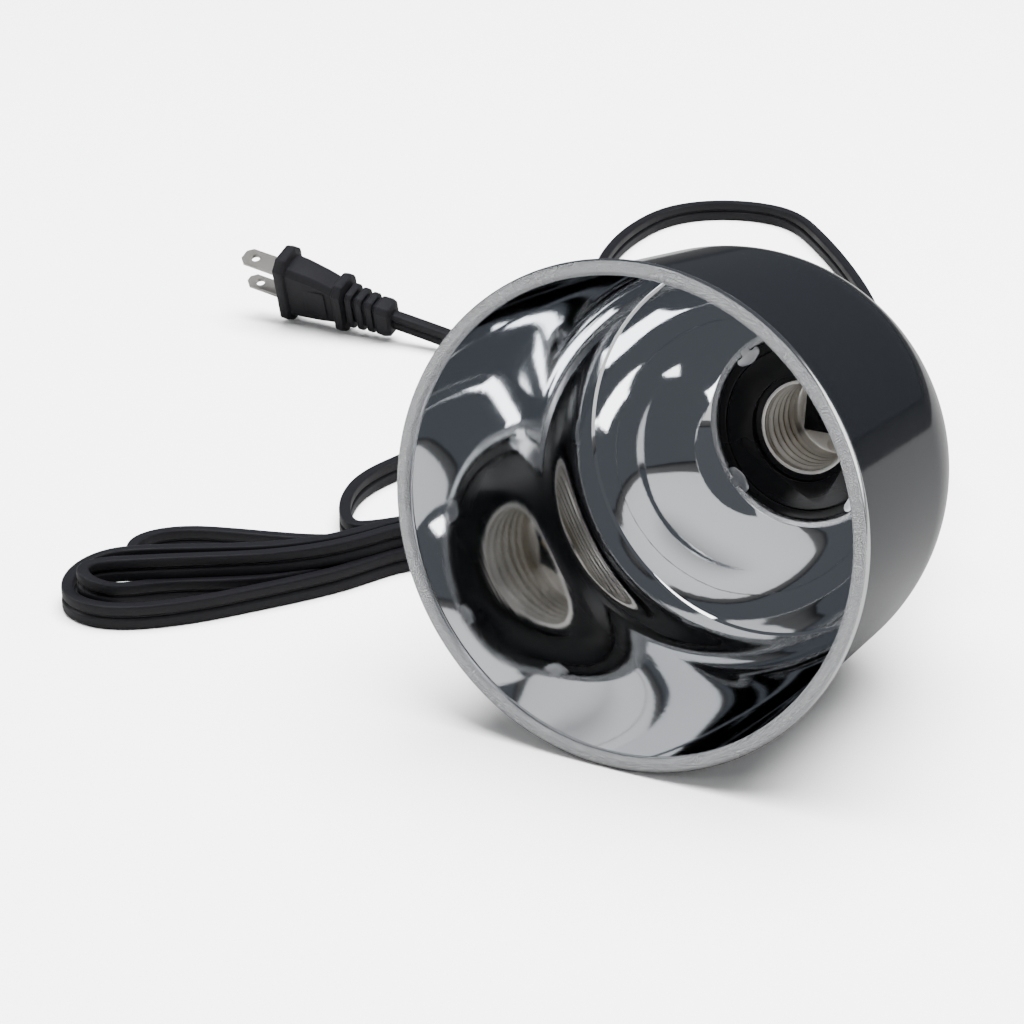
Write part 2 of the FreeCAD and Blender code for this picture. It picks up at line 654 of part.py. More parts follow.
def inner_leads():
    """Insulated wires from the moulded bushing to the two lugs, in the holder frame."""
    radius = value("lead_radius")
    start = value("%s - cap_wall - 2" % CAP_BACK)
    lug = value("%s + 2.2" % TERMINAL_BACK)
    lug_side = -8 - radius - value("fit") * 2
    for side, place, sign in (("live", "live_screw_offset", 1),
                              ("neutral", "-neutral_screw_offset", -1)):
        across = value(place)
        spread = across * 0.45
        route = [(2.2 * sign, 0, start), (2.2 * sign, 0, start - 2.0),
                 (spread, lug_side * 0.5, start - 4.6),
                 (across, lug_side, start - 7.0), (across, lug_side, lug)]
        tube(side + "_lead", route, radius, HOLDER)


FLOOR = value("cord_width / 2 + cord_lift")

# From the bushing the cord drops to the floor, sweeps round behind the lamp and comes
# back to the far end of the hank. The first point is the bushing's tip.
exit_point = LAMP.multVec(Vector(0, 0, bushing_tip))
exit_heading = LAMP.Rotation.multVec(Vector(0, 0, 1))
FIRST_RUN = 14.0
TAIL_RUN = 20.0
RUN_TO_HANK = [
    (-5.0, 128.5, 37.0), (-12.0, 145.0, 24.0), (-21.0, 162.5, 12.5), (-31.5, 182.0, 5.6),
    (-44.0, 205.0, FLOOR), (-61.5, 237.5, FLOOR), (-83.0, 275.0, FLOOR), (-107.0, 308.5, FLOOR),
    (-130.0, 336.5, FLOOR), (-152.5, 360.5, FLOOR), (-172.0, 364.0, FLOOR),
    (-190.5, 356.0, FLOOR), (-201.5, 339.0, FLOOR), (-202.5, 312.0, FLOOR),
    (-198.0, 285.0, FLOOR), (-190.0, 260.0, FLOOR), (-179.0, 235.0, FLOOR),
    (-165.0, 211.0, FLOOR), (-149.0, 189.0, FLOOR), (-134.5, 164.0, FLOOR),
    (-123.0, 136.0, FLOOR), (-115.0, 107.0, FLOOR), (-108.5, 80.0, FLOOR),
    (-101.0, 57.0, FLOOR), (-94.5, 38.5, FLOOR)]

# From the hank's side a small bow runs out to the plug.
RUN_TO_PLUG = [
    (-141.0, -1.5, FLOOR), (-153.0, 15.0, FLOOR), (-159.0, 36.0, FLOOR), (-155.0, 60.0, FLOOR),
    (-150.0, 84.0, FLOOR), (-148.0, 109.0, FLOOR), (-153.0, 134.0, FLOOR), (-168.0, 154.0, FLOOR),
    (-187.0, 163.5, FLOOR + 0.1)]

# The hank is a long loose bundle with a broad end, a narrow end and straight sides.
# Each end is its centre and its radius.
HANK_BROAD = (-170.0, -62.0, 31.0)
HANK_NARROW = (-88.0, 24.0, 18.0)


def cord_hank():
    broad = Vector(HANK_BROAD[0], HANK_BROAD[1], value("cord_lift"))
    narrow = Vector(HANK_NARROW[0], HANK_NARROW[1], value("cord_lift"))
    along = narrow - broad
    lean = math.acos((HANK_BROAD[2] - HANK_NARROW[2]) / along.Length)
    bearing = math.atan2(along.y, along.x)

    def on_circle(centre, radius, angle):
        return centre + Vector(math.cos(angle), math.sin(angle), 0) * radius

    left, right = bearing + lean, bearing - lean
    broad_end = [on_circle(broad, HANK_BROAD[2], angle)
                 for angle in (left, bearing + math.pi, right)]
    narrow_end = [on_circle(narrow, HANK_NARROW[2], angle) for angle in (right, bearing, left)]
    outline = Part.Wire([Part.Arc(*broad_end).toShape(),
                         Part.LineSegment(broad_end[2], narrow_end[0]).toShape(),
                         Part.Arc(*narrow_end).toShape(),
                         Part.LineSegment(narrow_end[2], broad_end[0]).toShape()])
    feature = doc.addObject("Part::Feature", "cord_hank")
    feature.Shape = Part.Face(outline).extrude(Vector(0, 0, value("hank_height")))
    return finished(feature, Placement())


# ---------------------------------------------------------------- plug

# The plug leans over on its narrow edge: its face, the way its blades point, and its lean.
PLUG_FACE = Vector(-271.0, 165.5, 16.5)
PLUG_TURN = 91.0
PLUG_RISE = 9.0
PLUG_LEAN = 26.0
plug_heading = Vector(-math.sin(math.radians(PLUG_TURN)) * math.cos(math.radians(PLUG_RISE)),
                      math.cos(math.radians(PLUG_TURN)) * math.cos(math.radians(PLUG_RISE)),
                      math.sin(math.radians(PLUG_RISE)))
plug_side = Vector(0, 0, 1).cross(plug_heading)
plug_side.normalize()
plug_upright = plug_heading.cross(plug_side)
lean = math.radians(PLUG_LEAN)
plug_long = plug_upright * math.cos(lean) + plug_side * math.sin(lean)
PLUG = Placement(PLUG_FACE, Rotation(plug_long, Vector(), plug_heading, "ZXY"))


def octagon(half_length, half_width, corner):
    quarter = [("%s" % half_length, "%s - %s" % (half_width, corner)),
               ("%s - %s" % (half_length, corner), half_width)]
    top = quarter + [("-(%s)" % across, up) for across, up in reversed(quarter)]
    return top + [("-(%s)" % across, "-(%s)" % up) for across, up in top]


def plug_section(body, label, half_length, half_width, corner, height):
    sketch = new_sketch(body, label, "XY_Plane", height)
    draw_outline(sketch, octagon(half_length, half_width, corner))
    return sketch


BLADES = (("wide", "blade_gap / 2", "wide_blade_half"),
          ("narrow", "-blade_gap / 2", "narrow_blade_half"))


def plug_body():
    body = new_body("plug_blank")
    pad(body, "plug_flange", octagon("flange_half_length", "flange_half_width", "3.5"),
        "-plug_flange", "plug_flange")
    wide = plug_section(body, "grip_wide", "flange_half_length - 3.5",
                        "flange_half_width - 1.2", "2", "-plug_flange")
    narrow = plug_section(body, "grip_narrow", "flange_half_length - 6.2",
                          "flange_half_width - 2.0", "2", PLUG_GRIP)
    grip = body.newObject("PartDesign::AdditiveLoft", "grip")
    grip.Profile = wide
    grip.Sections = [narrow]
    grip.Ruled = True
    pad(body, "collar", octagon("flange_half_length - 4", "flange_half_width - 0.8", "3"),
        PLUG_COLLAR, "collar")
    pad(body, "relief_core", octagon("6", "3.4", "1"), PLUG_RELIEF, "relief_length")
    rib_pitch = "relief_length / 3"
    for number in range(3):
        base = "%s - %s * %d - %s * 0.85" % (PLUG_COLLAR, rib_pitch, number, rib_pitch)
        pad(body, "rib_%d" % number, octagon("8.6 - %.1f" % (0.4 * number), "5", "1.6"),
            base, rib_pitch + " * 0.6")
    pad(body, "plug_tail", octagon("7.2", "4.8", "1.8"), PLUG_BACK, "plug_end")
    slots = [block(name + "_blade_slot",
                   ("%s - blade_sheet / 2 - fit / 2" % place, "-(%s) - fit / 2" % half,
                    "-blade_root"),
                   ("%s + blade_sheet / 2 + fit / 2" % place, "%s + fit / 2" % half, "1"))
             for name, place, half in BLADES]
    return finished(cut("plug_body", body, slots), PLUG)


def blades():
    for name, place, half in BLADES:
        bar = block(name + "_bar",
                    ("%s - blade_sheet / 2" % place, "-(%s)" % half, "-blade_root"),
                    ("%s + blade_sheet / 2" % place, half, "blade_length"))
        hole = doc.addObject("Part::Cylinder", name + "_blade_hole")
        hole.setExpression("Radius", bound("blade_hole"))
        hole.setExpression("Height", bound("blade_sheet * 4"))
        hole.Placement.Rotation = Rotation(Vector(0, 1, 0), 90)
        hole.setExpression("Placement.Base.x", bound("%s - blade_sheet * 2" % place))
        hole.setExpression("Placement.Base.z", bound("blade_hole_height"))
        finished(cut(name + "_blade", bar, [hole]), PLUG)


# ---------------------------------------------------------------- build

reflector()
gasket()
housing()
socket_insert()
screw_shell()
shell_rivets()
contact_foot()
centre_contact()
contact_rivet()
live_terminal()
neutral_terminal()
terminal_screws()
lead_lugs()
rear_cap()
cap_screws()
clamp_nuts()
cord_bushing()
inner_leads()
first_corner = exit_point + exit_heading * FIRST_RUN
to_hank = [tuple(exit_point), tuple(first_corner)] + RUN_TO_HANK
tube("cord_run_to_hank", to_hank, value("cord_width / 2"), Placement())
cord_hank()
plug_tail = PLUG.multVec(Vector(0, 0, value(PLUG_BACK)))
tail_run = plug_tail - plug_heading * TAIL_RUN
to_plug = RUN_TO_PLUG + [tuple(tail_run), tuple(plug_tail)]
tube("cord_run_to_plug", to_plug, value("cord_width / 2"), Placement())
plug_body()
blades()
doc.recompute()

# ---------------------------------------------------------------- check and write
for item in doc.Objects:
    if "Invalid" in item.State or "Error" in item.State:
        raise RuntimeError("%s is %s" % (item.Label, item.State))
os.makedirs("parts", exist_ok=True)
for node in nodes:
    shape = node.Shape
    if shape.isNull() or not shape.isValid() or not shape.Solids:
        raise RuntimeError("%s has no valid solid" % node.Label)
    shape.exportStep(os.path.join("parts", node.Label + ".step"))
    print("%-18s %d solid(s) %9.1f mm3" % (node.Label, len(shape.Solids), shape.Volume))
print("tilt %.3f mouth %s seat %.3f exit %s" % (math.degrees(TILT), MOUTH, seat, exit_point))
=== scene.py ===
"""Dome heat lamp on its side: mirrored shade, screw lampholder, flat cord and plug.

Shapes are drawn in millimetres in the frame of the part they belong to, and set in
place in the row frame by that frame's matrix.
"""

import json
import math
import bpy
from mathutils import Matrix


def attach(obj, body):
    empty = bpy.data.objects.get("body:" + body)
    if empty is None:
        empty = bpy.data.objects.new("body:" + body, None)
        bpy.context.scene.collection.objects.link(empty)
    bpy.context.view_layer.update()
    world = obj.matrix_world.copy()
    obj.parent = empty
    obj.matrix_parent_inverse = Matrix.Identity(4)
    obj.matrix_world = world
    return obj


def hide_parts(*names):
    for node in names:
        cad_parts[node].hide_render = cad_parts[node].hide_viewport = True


bl_info = {
    "name": "Dome Heat Lamp",
    "version": (1, 0, 0),
    "blender": (4, 5, 0),
    "location": "View3D > Sidebar > Heat Lamp",
    "description": "Builds a dome heat lamp with its lampholder, flat cord and plug",
    "category": "Add Mesh",
}

import bmesh
import bpy
from bpy.props import FloatProperty, FloatVectorProperty, IntProperty, PointerProperty
from mathutils import Matrix, Vector

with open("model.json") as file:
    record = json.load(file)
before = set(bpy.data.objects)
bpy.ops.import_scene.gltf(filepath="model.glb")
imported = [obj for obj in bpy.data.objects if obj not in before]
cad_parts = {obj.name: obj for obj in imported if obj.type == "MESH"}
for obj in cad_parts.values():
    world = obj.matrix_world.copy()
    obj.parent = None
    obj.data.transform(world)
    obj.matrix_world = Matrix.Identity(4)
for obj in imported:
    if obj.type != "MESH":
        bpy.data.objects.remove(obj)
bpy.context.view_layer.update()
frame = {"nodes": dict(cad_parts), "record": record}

MM = 0.001
TURN = 2 * math.pi

# ---------------------------------------------------------------- frames
# The socket's mount gives the lamp's axis and the seat of the lampholder. The seat lies
# SEAT_DEPTH behind the plane of the mouth and MOUNT_DEPTH in front of the mount.
SEAT_DEPTH = 120.384
MOUNT_DEPTH = 9.06
mounts = {mount["name"]: mount for mount in frame["record"]["mounts"]}
AXIS = -Vector(mounts["lamp_socket"]["axis"]).normalized()
ACROSS = Vector((1, 0, 0))
SEAT_POINT = Vector(mounts["lamp_socket"]["pos_m"]) - AXIS * MOUNT_DEPTH * MM


def frame_matrix(origin, across, along):
    """Millimetres in a frame whose +Z is along and +X is across, to metres in the row frame."""
    turn = Matrix((across, along.cross(across), along)).transposed().to_4x4()
    return Matrix.Translation(origin) @ turn @ Matrix.Scale(MM, 4)


LAMP = frame_matrix(SEAT_POINT - AXIS * SEAT_DEPTH * MM, ACROSS, AXIS)
HOLDER = frame_matrix(SEAT_POINT, ACROSS, AXIS)

PLUG_LEAN = math.radians(26)
PLUG_FACE = Vector(mounts["plug_blades"]["pos_m"])
PLUG_HEADING = Vector(mounts["plug_blades"]["axis"]).normalized()
plug_side = Vector((0, 0, 1)).cross(PLUG_HEADING).normalized()
plug_upright = PLUG_HEADING.cross(plug_side)
PLUG_LONG = plug_upright * math.cos(PLUG_LEAN) + plug_side * math.sin(PLUG_LEAN)
PLUG = frame_matrix(PLUG_FACE, PLUG_LONG, PLUG_HEADING)

# ---------------------------------------------------------------- settings


def length(name, description, millimetres):
    return FloatProperty(name=name, description=description, default=millimetres * MM,
                         min=0.0, unit="LENGTH", subtype="DISTANCE", precision=5)


def colour(name, description, value):
    return FloatVectorProperty(name=name, description=description, default=value, size=3,
                               min=0.0, max=1.0, subtype="COLOR")


def share(name, description, value, top=1.0):
    return FloatProperty(name=name, description=description, default=value, min=0.0,
                         max=top, subtype="FACTOR")


class HeatLampShade(bpy.types.PropertyGroup):
    """Sizes and finishes of the spun shade and its ears."""
    dome_radius: length("Dome radius", "Outer radius of the dome's round end", 62.5)
    dome_centre: length("Dome centre", "Depth of the dome's centre behind the mouth", 64.0)
    wall_taper: FloatProperty(name="Wall taper", description="Flare of the wall to the mouth",
                              default=math.radians(3.75), subtype="ANGLE", unit="ROTATION")
    sheet: length("Sheet", "Thickness of the spun sheet", 0.9)
    bead_radius: length("Bead radius", "Radius of the rolled rim", 2.2)
    bead_overhang: length("Bead overhang", "How far the rim's centre stands out", 1.12)
    rim_land: length("Rim land", "Depth of the flat on the front of the rim", 0.25)
    crease_height: length("Crease depth", "Depth of the formed line in the dome", 90.0)
    crease_step: length("Crease step", "Height of the formed line", 0.5)
    opening_radius: length("Opening radius", "Radius of the opening in the crown", 27.9)
    lip_width: length("Lip width", "Width of the raised lip of the opening", 2.0)
    lip_height: length("Lip height", "Height of the raised lip of the opening", 0.7)
    seat_recess: length("Seat recess", "Depth of the lampholder's seat behind the lip", 3.1)
    seat_bore: length("Seat bore", "Radius of the hole in the seat", 24.6)
    ear_count: IntProperty(name="Ears", description="Bent ears that hold the lampholder",
                           default=4, min=2, max=8)
    ear_length: length("Ear length", "Reach of an ear past the lip", 4.4)
    ear_half_width: length("Ear half width", "Half the width of an ear's head", 4.35)
    enamel: colour("Enamel", "Colour of the outside", (0.0045, 0.005, 0.006))
    metal: colour("Aluminium", "Colour of the bare metal", (0.86, 0.87, 0.885))
    mirror_roughness: share("Mirror roughness", "Roughness of the polished inside", 0.022)


class HeatLampHolder(bpy.types.PropertyGroup):
    """Sizes and finishes of the lampholder, its screw shell and its cap."""
    thread_radius: length("Thread radius", "Radius inside the crests of the screw shell", 12.4)
    thread_depth: length("Thread depth", "Depth of the rolled thread", 0.85)
    thread_pitch: length("Thread pitch", "Rise of the thread in one turn", 3.63)
    shell_sheet: length("Shell sheet", "Thickness of the screw shell", 0.45)
    shell_floor: length("Shell floor", "Depth of the screw shell's floor", 23.2)
    window_half_length: length("Window half length", "Half the window in the floor", 10.5)
    window_half_width: length("Window half width", "Half the window in the floor", 7.5)
    rib_count: IntProperty(name="Ribs", description="Ribs on the strain relief", default=6,
                           min=2, max=12)
    rib_pitch: length("Rib pitch", "Distance from rib to rib", 2.7)
    phenolic: colour("Phenolic", "Colour of the moulded holder", (0.006, 0.006, 0.007))
    shell_metal: colour("Shell metal", "Colour of the screw shell", (0.86, 0.83, 0.78))
    brass: colour("Brass", "Colour of the contacts", (0.72, 0.53, 0.25))


class HeatLampCord(bpy.types.PropertyGroup):
    """Sizes and finishes of the flat cord and its plug."""
    cord_width: length("Cord width", "Width of the flat cord over both cores", 7.4)
    cord_thickness: length("Cord thickness", "Thickness of the flat cord", 3.8)
    real_length: FloatProperty(name="Cord length", description="From the lamp to the plug",
                               default=1.83, min=0.5, unit="LENGTH", subtype="DISTANCE")
    blade_gap: length("Blade spacing", "Distance between the blades' middles", 12.7)
    blade_length: length("Blade length", "How far the blades stand out", 17.0)
    blade_sheet: length("Blade sheet", "Thickness of a blade", 1.5)
    wide_half: length("Wide blade", "Half the width of the wide blade", 3.95)
    narrow_half: length("Narrow blade", "Half the width of the narrow blade", 3.15)
    vinyl: colour("Vinyl", "Colour of the cord's jacket", (0.005, 0.005, 0.006))
    nickel: colour("Nickel", "Colour of the blades", (0.55, 0.53, 0.50))


class HeatLampStage(bpy.types.PropertyGroup):
    """Floor, lights and camera."""
    floor_size: FloatProperty(name="Floor", description="Side of the floor", default=9.0,
                              unit="LENGTH", subtype="DISTANCE")
    floor_colour: colour("Floor colour", "Colour of the floor", (0.92, 0.92, 0.92))
    # Painted shade in reflections: past this distance, glossy rays see the floor darkened to stand
    # in for a dark room.
    painted_dark_reflection_start: FloatProperty(name="Painted dark reflection start", description="Where reflections find the "
                              "floor darkest", default=0.55, unit="LENGTH",
                              subtype="DISTANCE")
    reflected_dark: share("Reflected dark", "How dark reflections find the near floor", 0.86)
    room: share("Room light", "Brightness of the dark room around the set", 0.11, 10.0)
    lens: FloatProperty(name="Lens", description="Focal length in millimetres",
                        default=116.0, min=10.0)


class Millimetres:
    """Reads the lengths of a group of settings in millimetres."""

    def __init__(self, group):
        self.group = group

    def __getattr__(self, name):
        return getattr(self.group, name) / MM


# ---------------------------------------------------------------- drawing


def arc(centre, radius, start, stop, steps):
    """Points on an arc in the (radius, depth) plane, angles in degrees."""
    angles = [math.radians(start + (stop - start) * step / steps) for step in range(steps + 1)]
    return [(centre[0] + radius * math.cos(a), centre[1] + radius * math.sin(a))
            for a in angles]


def filleted(corners, steps=5):
    """Rounds each corner that has a third number, which is its radius."""
    points = []
    for number, corner in enumerate(corners):
        here = Vector(corner[:2])
        if len(corner) == 2:
            points.append(tuple(here))
            continue
        back = Vector(corners[number - 1][:2]) - here
        ahead = Vector(corners[(number + 1) % len(corners)][:2]) - here
        half = back.angle(ahead) / 2
        reach = min(corner[2] / math.tan(half), 0.48 * back.length, 0.48 * ahead.length)
        first = here + back.normalized() * reach
        last = here + ahead.normalized() * reach
        for step in range(steps + 1):
            t = step / steps
            points.append(tuple(first * (1 - t) ** 2 + here * 2 * t * (1 - t) + last * t ** 2))
    return points


def piece(name, vertices, faces, matrix, materials, slots=None, sharp=32.0, uv=None):
    """A closed mesh in its place in the row frame, smooth but for its sharp edges."""
    mesh = bpy.data.meshes.new(name)
    mesh.from_pydata([tuple(v) for v in vertices], [], faces)
    for material in materials:
        mesh.materials.append(material)
    if slots:
        mesh.polygons.foreach_set("material_index", slots)
    if uv:
        layer = mesh.uv_layers.new(name="UVMap")
        layer.data.foreach_set("uv", [number for pair in uv for number in pair])
    work = bmesh.new()
    work.from_mesh(mesh)
    bmesh.ops.remove_doubles(work, verts=work.verts, dist=1e-4)
    bmesh.ops.recalc_face_normals(work, faces=work.faces)
    work.to_mesh(mesh)
    work.free()
    mesh.transform(matrix)
    mesh.shade_smooth()
    mesh.set_sharp_from_angle(angle=math.radians(sharp))
    made = bpy.data.objects.new(name, mesh)
    bpy.context.scene.collection.objects.link(made)
    return made


def turned(name, profile_at, matrix, materials, segments, slots=None, closed=True, sharp=32.0):
    """Turns a profile about +Z. profile_at gives the (radius, height) points at an angle."""
    rings = [profile_at(TURN * number / segments) for number in range(segments)]
    count = len(rings[0])
    vertices = []
    for number, ring in enumerate(rings):
        angle = TURN * number / segments
        vertices += [(r * math.cos(angle), r * math.sin(angle), z) for r, z in ring]
    faces = []
    indices = []
    for number in range(segments):
        here, after = number * count, (number + 1) % segments * count
        for k in range(count if closed else count - 1):
            following = (k + 1) % count
            if rings[0][k][0] < 1e-6 and rings[0][following][0] < 1e-6:
                continue
            faces.append((here + k, here + following, after + following, after + k))
            indices.append(slots[k] if slots else 0)
    return piece(name, vertices, faces, matrix, materials, indices, sharp)


def lofted(name, rings, matrix, materials, sharp=32.0):
    """Joins outlines of equally many points and closes both ends."""
    count = len(rings[0])
    vertices = [point for ring in rings for point in ring]
    faces = [tuple(range(count)), tuple(range(len(vertices) - count, len(vertices)))]
    for number in range(len(rings) - 1):
        base = number * count
        for k in range(count):
            after = (k + 1) % count
            faces.append((base + k, base + after, base + count + after, base + count + k))
    return piece(name, vertices, faces, matrix, materials, sharp=sharp)


def octagon(half_length, half_width, corner, height, rounding=0.8):
    """A rectangle with cut and rounded corners, as a ring at one height."""
    quarter = [(half_length, half_width - corner), (half_length - corner, half_width)]
    outline = quarter + [(-x, y) for x, y in reversed(quarter)]
    outline = outline + [(-x, -y) for x, y in outline]
    return [(x, y, height) for x, y in filleted([(x, y, rounding) for x, y in outline], 3)]


def softened(node, name, body, slot, material, width=0.15):
    """A copy of a CAD node with merged vertices and, at its sharp edges, a small round."""
    mesh = frame["nodes"][node].data.copy()
    mesh.materials.clear()
    mesh.materials.append(material)
    work = bmesh.new()
    work.from_mesh(mesh)
    bmesh.ops.remove_doubles(work, verts=work.verts, dist=2e-6)
    bmesh.ops.dissolve_limit(work, angle_limit=math.radians(0.8), verts=work.verts,
                             edges=work.edges)
    work.to_mesh(mesh)
    work.free()
    made = bpy.data.objects.new(name, mesh)
    bpy.context.scene.collection.objects.link(made)
    if width:
        bevel = made.modifiers.new("edge round", "BEVEL")
        bevel.width = width * MM
        bevel.segments = 2
        bevel.limit_method = "ANGLE"
        bevel.angle_limit = math.radians(40)
        bevel.use_clamp_overlap = True
        made = settled(made)
    made.data.shade_smooth()
    made.data.set_sharp_from_angle(angle=math.radians(32))
    return declared(made, body, slot, node)


def settled(made):
    """Turns an object's evaluated shape into its plain mesh and drops the modifiers."""
    view = bpy.context.evaluated_depsgraph_get()
    mesh = bpy.data.meshes.new_from_object(made.evaluated_get(view))
    made.modifiers.clear()
    made.data = mesh
    mesh.name = made.name
    return made


def declared(made, body, slot, *nodes):
    """Ties a piece to its CAD body and, if named, hides its CAD nodes. The slot argument is not
    used.
    """
    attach(made, body)
    if nodes:
        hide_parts(*nodes)
    return made


# ---------------------------------------------------------------- geometry nodes


def node_tree(name, inputs):
    """An empty geometry tree with a Geometry input and output and the named inputs."""
    tree = bpy.data.node_groups.new(name, "GeometryNodeTree")
    tree.interface.new_socket("Geometry", in_out="INPUT", socket_type="NodeSocketGeometry")
    for label, kind, value in inputs:
        socket = tree.interface.new_socket(label, in_out="INPUT", socket_type=kind)
        if value is not None:
            socket.default_value = value
    tree.interface.new_socket("Geometry", in_out="OUTPUT", socket_type="NodeSocketGeometry")
    return tree, tree.nodes.new("NodeGroupInput"), tree.nodes.new("NodeGroupOutput")


def calculate(tree, operation, first, second):
    """A Math node on two sockets or numbers."""
    node = tree.nodes.new("ShaderNodeMath")
    node.operation = operation
    for socket, given in zip(node.inputs, (first, second)):
        if isinstance(given, (int, float)):
            socket.default_value = given
        else:
            tree.links.new(given, socket)
    return node.outputs[0]


def finish_tree(tree, instances, material, output):
    """Ends a tree in Realize Instances and Set Material."""
    real = tree.nodes.new("GeometryNodeRealizeInstances")
    painted = tree.nodes.new("GeometryNodeSetMaterial")
    tree.links.new(instances, real.inputs[0])
    tree.links.new(real.outputs[0], painted.inputs["Geometry"])
    tree.links.new(material, painted.inputs["Material"])
    tree.links.new(painted.outputs[0], output.inputs[0])


def ring_tree():
    """Repeats a part evenly about +Z."""
    tree, given, out = node_tree("Parts in a ring", [
        ("Count", "NodeSocketInt", 4), ("First angle", "NodeSocketFloat", 0.0),
        ("Material", "NodeSocketMaterial", None)])
    points = tree.nodes.new("GeometryNodePoints")
    index = tree.nodes.new("GeometryNodeInputIndex")
    turn = tree.nodes.new("ShaderNodeCombineXYZ")
    copies = tree.nodes.new("GeometryNodeInstanceOnPoints")
    step = calculate(tree, "DIVIDE", TURN, given.outputs["Count"])
    angle = calculate(tree, "MULTIPLY", index.outputs[0], step)
    angle = calculate(tree, "ADD", angle, given.outputs["First angle"])
    tree.links.new(given.outputs["Count"], points.inputs["Count"])
    tree.links.new(angle, turn.inputs["Z"])
    tree.links.new(points.outputs[0], copies.inputs["Points"])
    tree.links.new(given.outputs["Geometry"], copies.inputs["Instance"])
    tree.links.new(turn.outputs[0], copies.inputs["Rotation"])
    finish_tree(tree, copies.outputs[0], given.outputs["Material"], out)
    return tree


def row_tree():
    """Repeats a rib along -Z or +Z, each a little smaller than the last."""
    tree, given, out = node_tree("Ribs in a row", [
        ("Count", "NodeSocketInt", 4), ("Pitch", "NodeSocketFloat", 1.0),
        ("Shrink", "NodeSocketFloat", 0.05), ("Material", "NodeSocketMaterial", None)])
    points = tree.nodes.new("GeometryNodePoints")
    index = tree.nodes.new("GeometryNodeInputIndex")
    place = tree.nodes.new("ShaderNodeCombineXYZ")
    size = tree.nodes.new("ShaderNodeCombineXYZ")
    copies = tree.nodes.new("GeometryNodeInstanceOnPoints")
    rise = calculate(tree, "MULTIPLY", index.outputs[0], given.outputs["Pitch"])
    loss = calculate(tree, "MULTIPLY", index.outputs[0], given.outputs["Shrink"])
    kept = calculate(tree, "SUBTRACT", 1.0, loss)
    tree.links.new(given.outputs["Count"], points.inputs["Count"])
    tree.links.new(rise, place.inputs["Z"])
    tree.links.new(place.outputs[0], points.inputs["Position"])
    tree.links.new(kept, size.inputs["X"])
    tree.links.new(kept, size.inputs["Y"])
    size.inputs["Z"].default_value = 1.0
    tree.links.new(points.outputs[0], copies.inputs["Points"])
    tree.links.new(given.outputs["Geometry"], copies.inputs["Instance"])
    tree.links.new(size.outputs[0], copies.inputs["Scale"])
    finish_tree(tree, copies.outputs[0], given.outputs["Material"], out)
    return tree


def repeated(made, tree, matrix, **values):
    """Runs a tree on a single part and sets the plain result in its place."""
    modifier = made.modifiers.new("repeat", "NODES")
    modifier.node_group = tree
    keys = {item.name: item.identifier for item in tree.interface.items_tree
            if item.in_out == "INPUT"}
    for label, value in values.items():
        modifier[keys[label.replace("_", " ")]] = value
    settled(made)
    made.data.transform(matrix)
    made.data.shade_smooth()
    made.data.set_sharp_from_angle(angle=math.radians(32))
    return made


# ---------------------------------------------------------------- materials


def shader_group(name, inputs, outputs):
    group = bpy.data.node_groups.new(name, "ShaderNodeTree")
    for label, value in inputs:
        socket = group.interface.new_socket(label, in_out="INPUT",
                                            socket_type="NodeSocketFloat")
        socket.default_value = value
    for label in outputs:
        group.interface.new_socket(label, in_out="OUTPUT", socket_type="NodeSocketFloat")
    return group, group.nodes.new("NodeGroupInput"), group.nodes.new("NodeGroupOutput")


def noise(tree, vector, scale, detail=3.0, rough=0.5):
    node = tree.nodes.new("ShaderNodeTexNoise")
    node.inputs["Detail"].default_value = detail
    node.inputs["Roughness"].default_value = rough
    tree.links.new(vector, node.inputs["Vector"])
    if isinstance(scale, (int, float)):
        node.inputs["Scale"].default_value = scale
    else:
        tree.links.new(scale, node.inputs["Scale"])
    return node.outputs["Fac"]


def spread(tree, value, low, high):
    """Stretches the middle of a noise to run from 0 to 1."""
    node = tree.nodes.new("ShaderNodeMapRange")
    node.inputs["From Min"].default_value = low
    node.inputs["From Max"].default_value = high
    tree.links.new(value, node.inputs["Value"])
    return node.outputs["Result"]


def grain_group():
    """Fine pebbling of a surface, and broad soft patches of handling."""
    group, given, out = shader_group(
        "Surface grain", [("Scale", 900.0), ("Patch scale", 30.0)], ["Grain", "Patches"])
    place = group.nodes.new("ShaderNodeTexCoord").outputs["Object"]
    fine = spread(group, noise(group, place, given.outputs["Scale"], 4.0, 0.6), 0.3, 0.7)
    broad = spread(group, noise(group, place, given.outputs["Patch scale"], 2.0), 0.35, 0.68)
    group.links.new(fine, out.inputs["Grain"])
    group.links.new(broad, out.inputs["Patches"])
    return group


def lathe_group():
    """Fine rings left by spinning, drawn along the lamp's own axis, with a slow waver."""
    group, given, out = shader_group(
        "Spinning rings", [("Ring scale", 900.0), ("Waver", 0.002)], ["Rings"])
    place = group.nodes.new("ShaderNodeTexCoord").outputs["Object"]
    frame_of_lamp = group.nodes.new("ShaderNodeMapping")
    frame_of_lamp.vector_type = "TEXTURE"
    frame_of_lamp.inputs["Location"].default_value = LAMP.translation
    frame_of_lamp.inputs["Rotation"].default_value = LAMP.to_euler()
    apart = group.nodes.new("ShaderNodeSeparateXYZ")
    group.links.new(place, frame_of_lamp.inputs["Vector"])
    group.links.new(frame_of_lamp.outputs[0], apart.inputs[0])
    slow = noise(group, place, 14.0, 1.0)
    bend = calculate(group, "MULTIPLY", slow, given.outputs["Waver"])
    depth = calculate(group, "ADD", apart.outputs["Z"], bend)
    rings = group.nodes.new("ShaderNodeTexNoise")
    rings.noise_dimensions = "1D"
    rings.inputs["Detail"].default_value = 3.0
    group.links.new(depth, rings.inputs["W"])
    group.links.new(given.outputs["Ring scale"], rings.inputs["Scale"])
    group.links.new(rings.outputs["Fac"], out.inputs["Rings"])
    return group


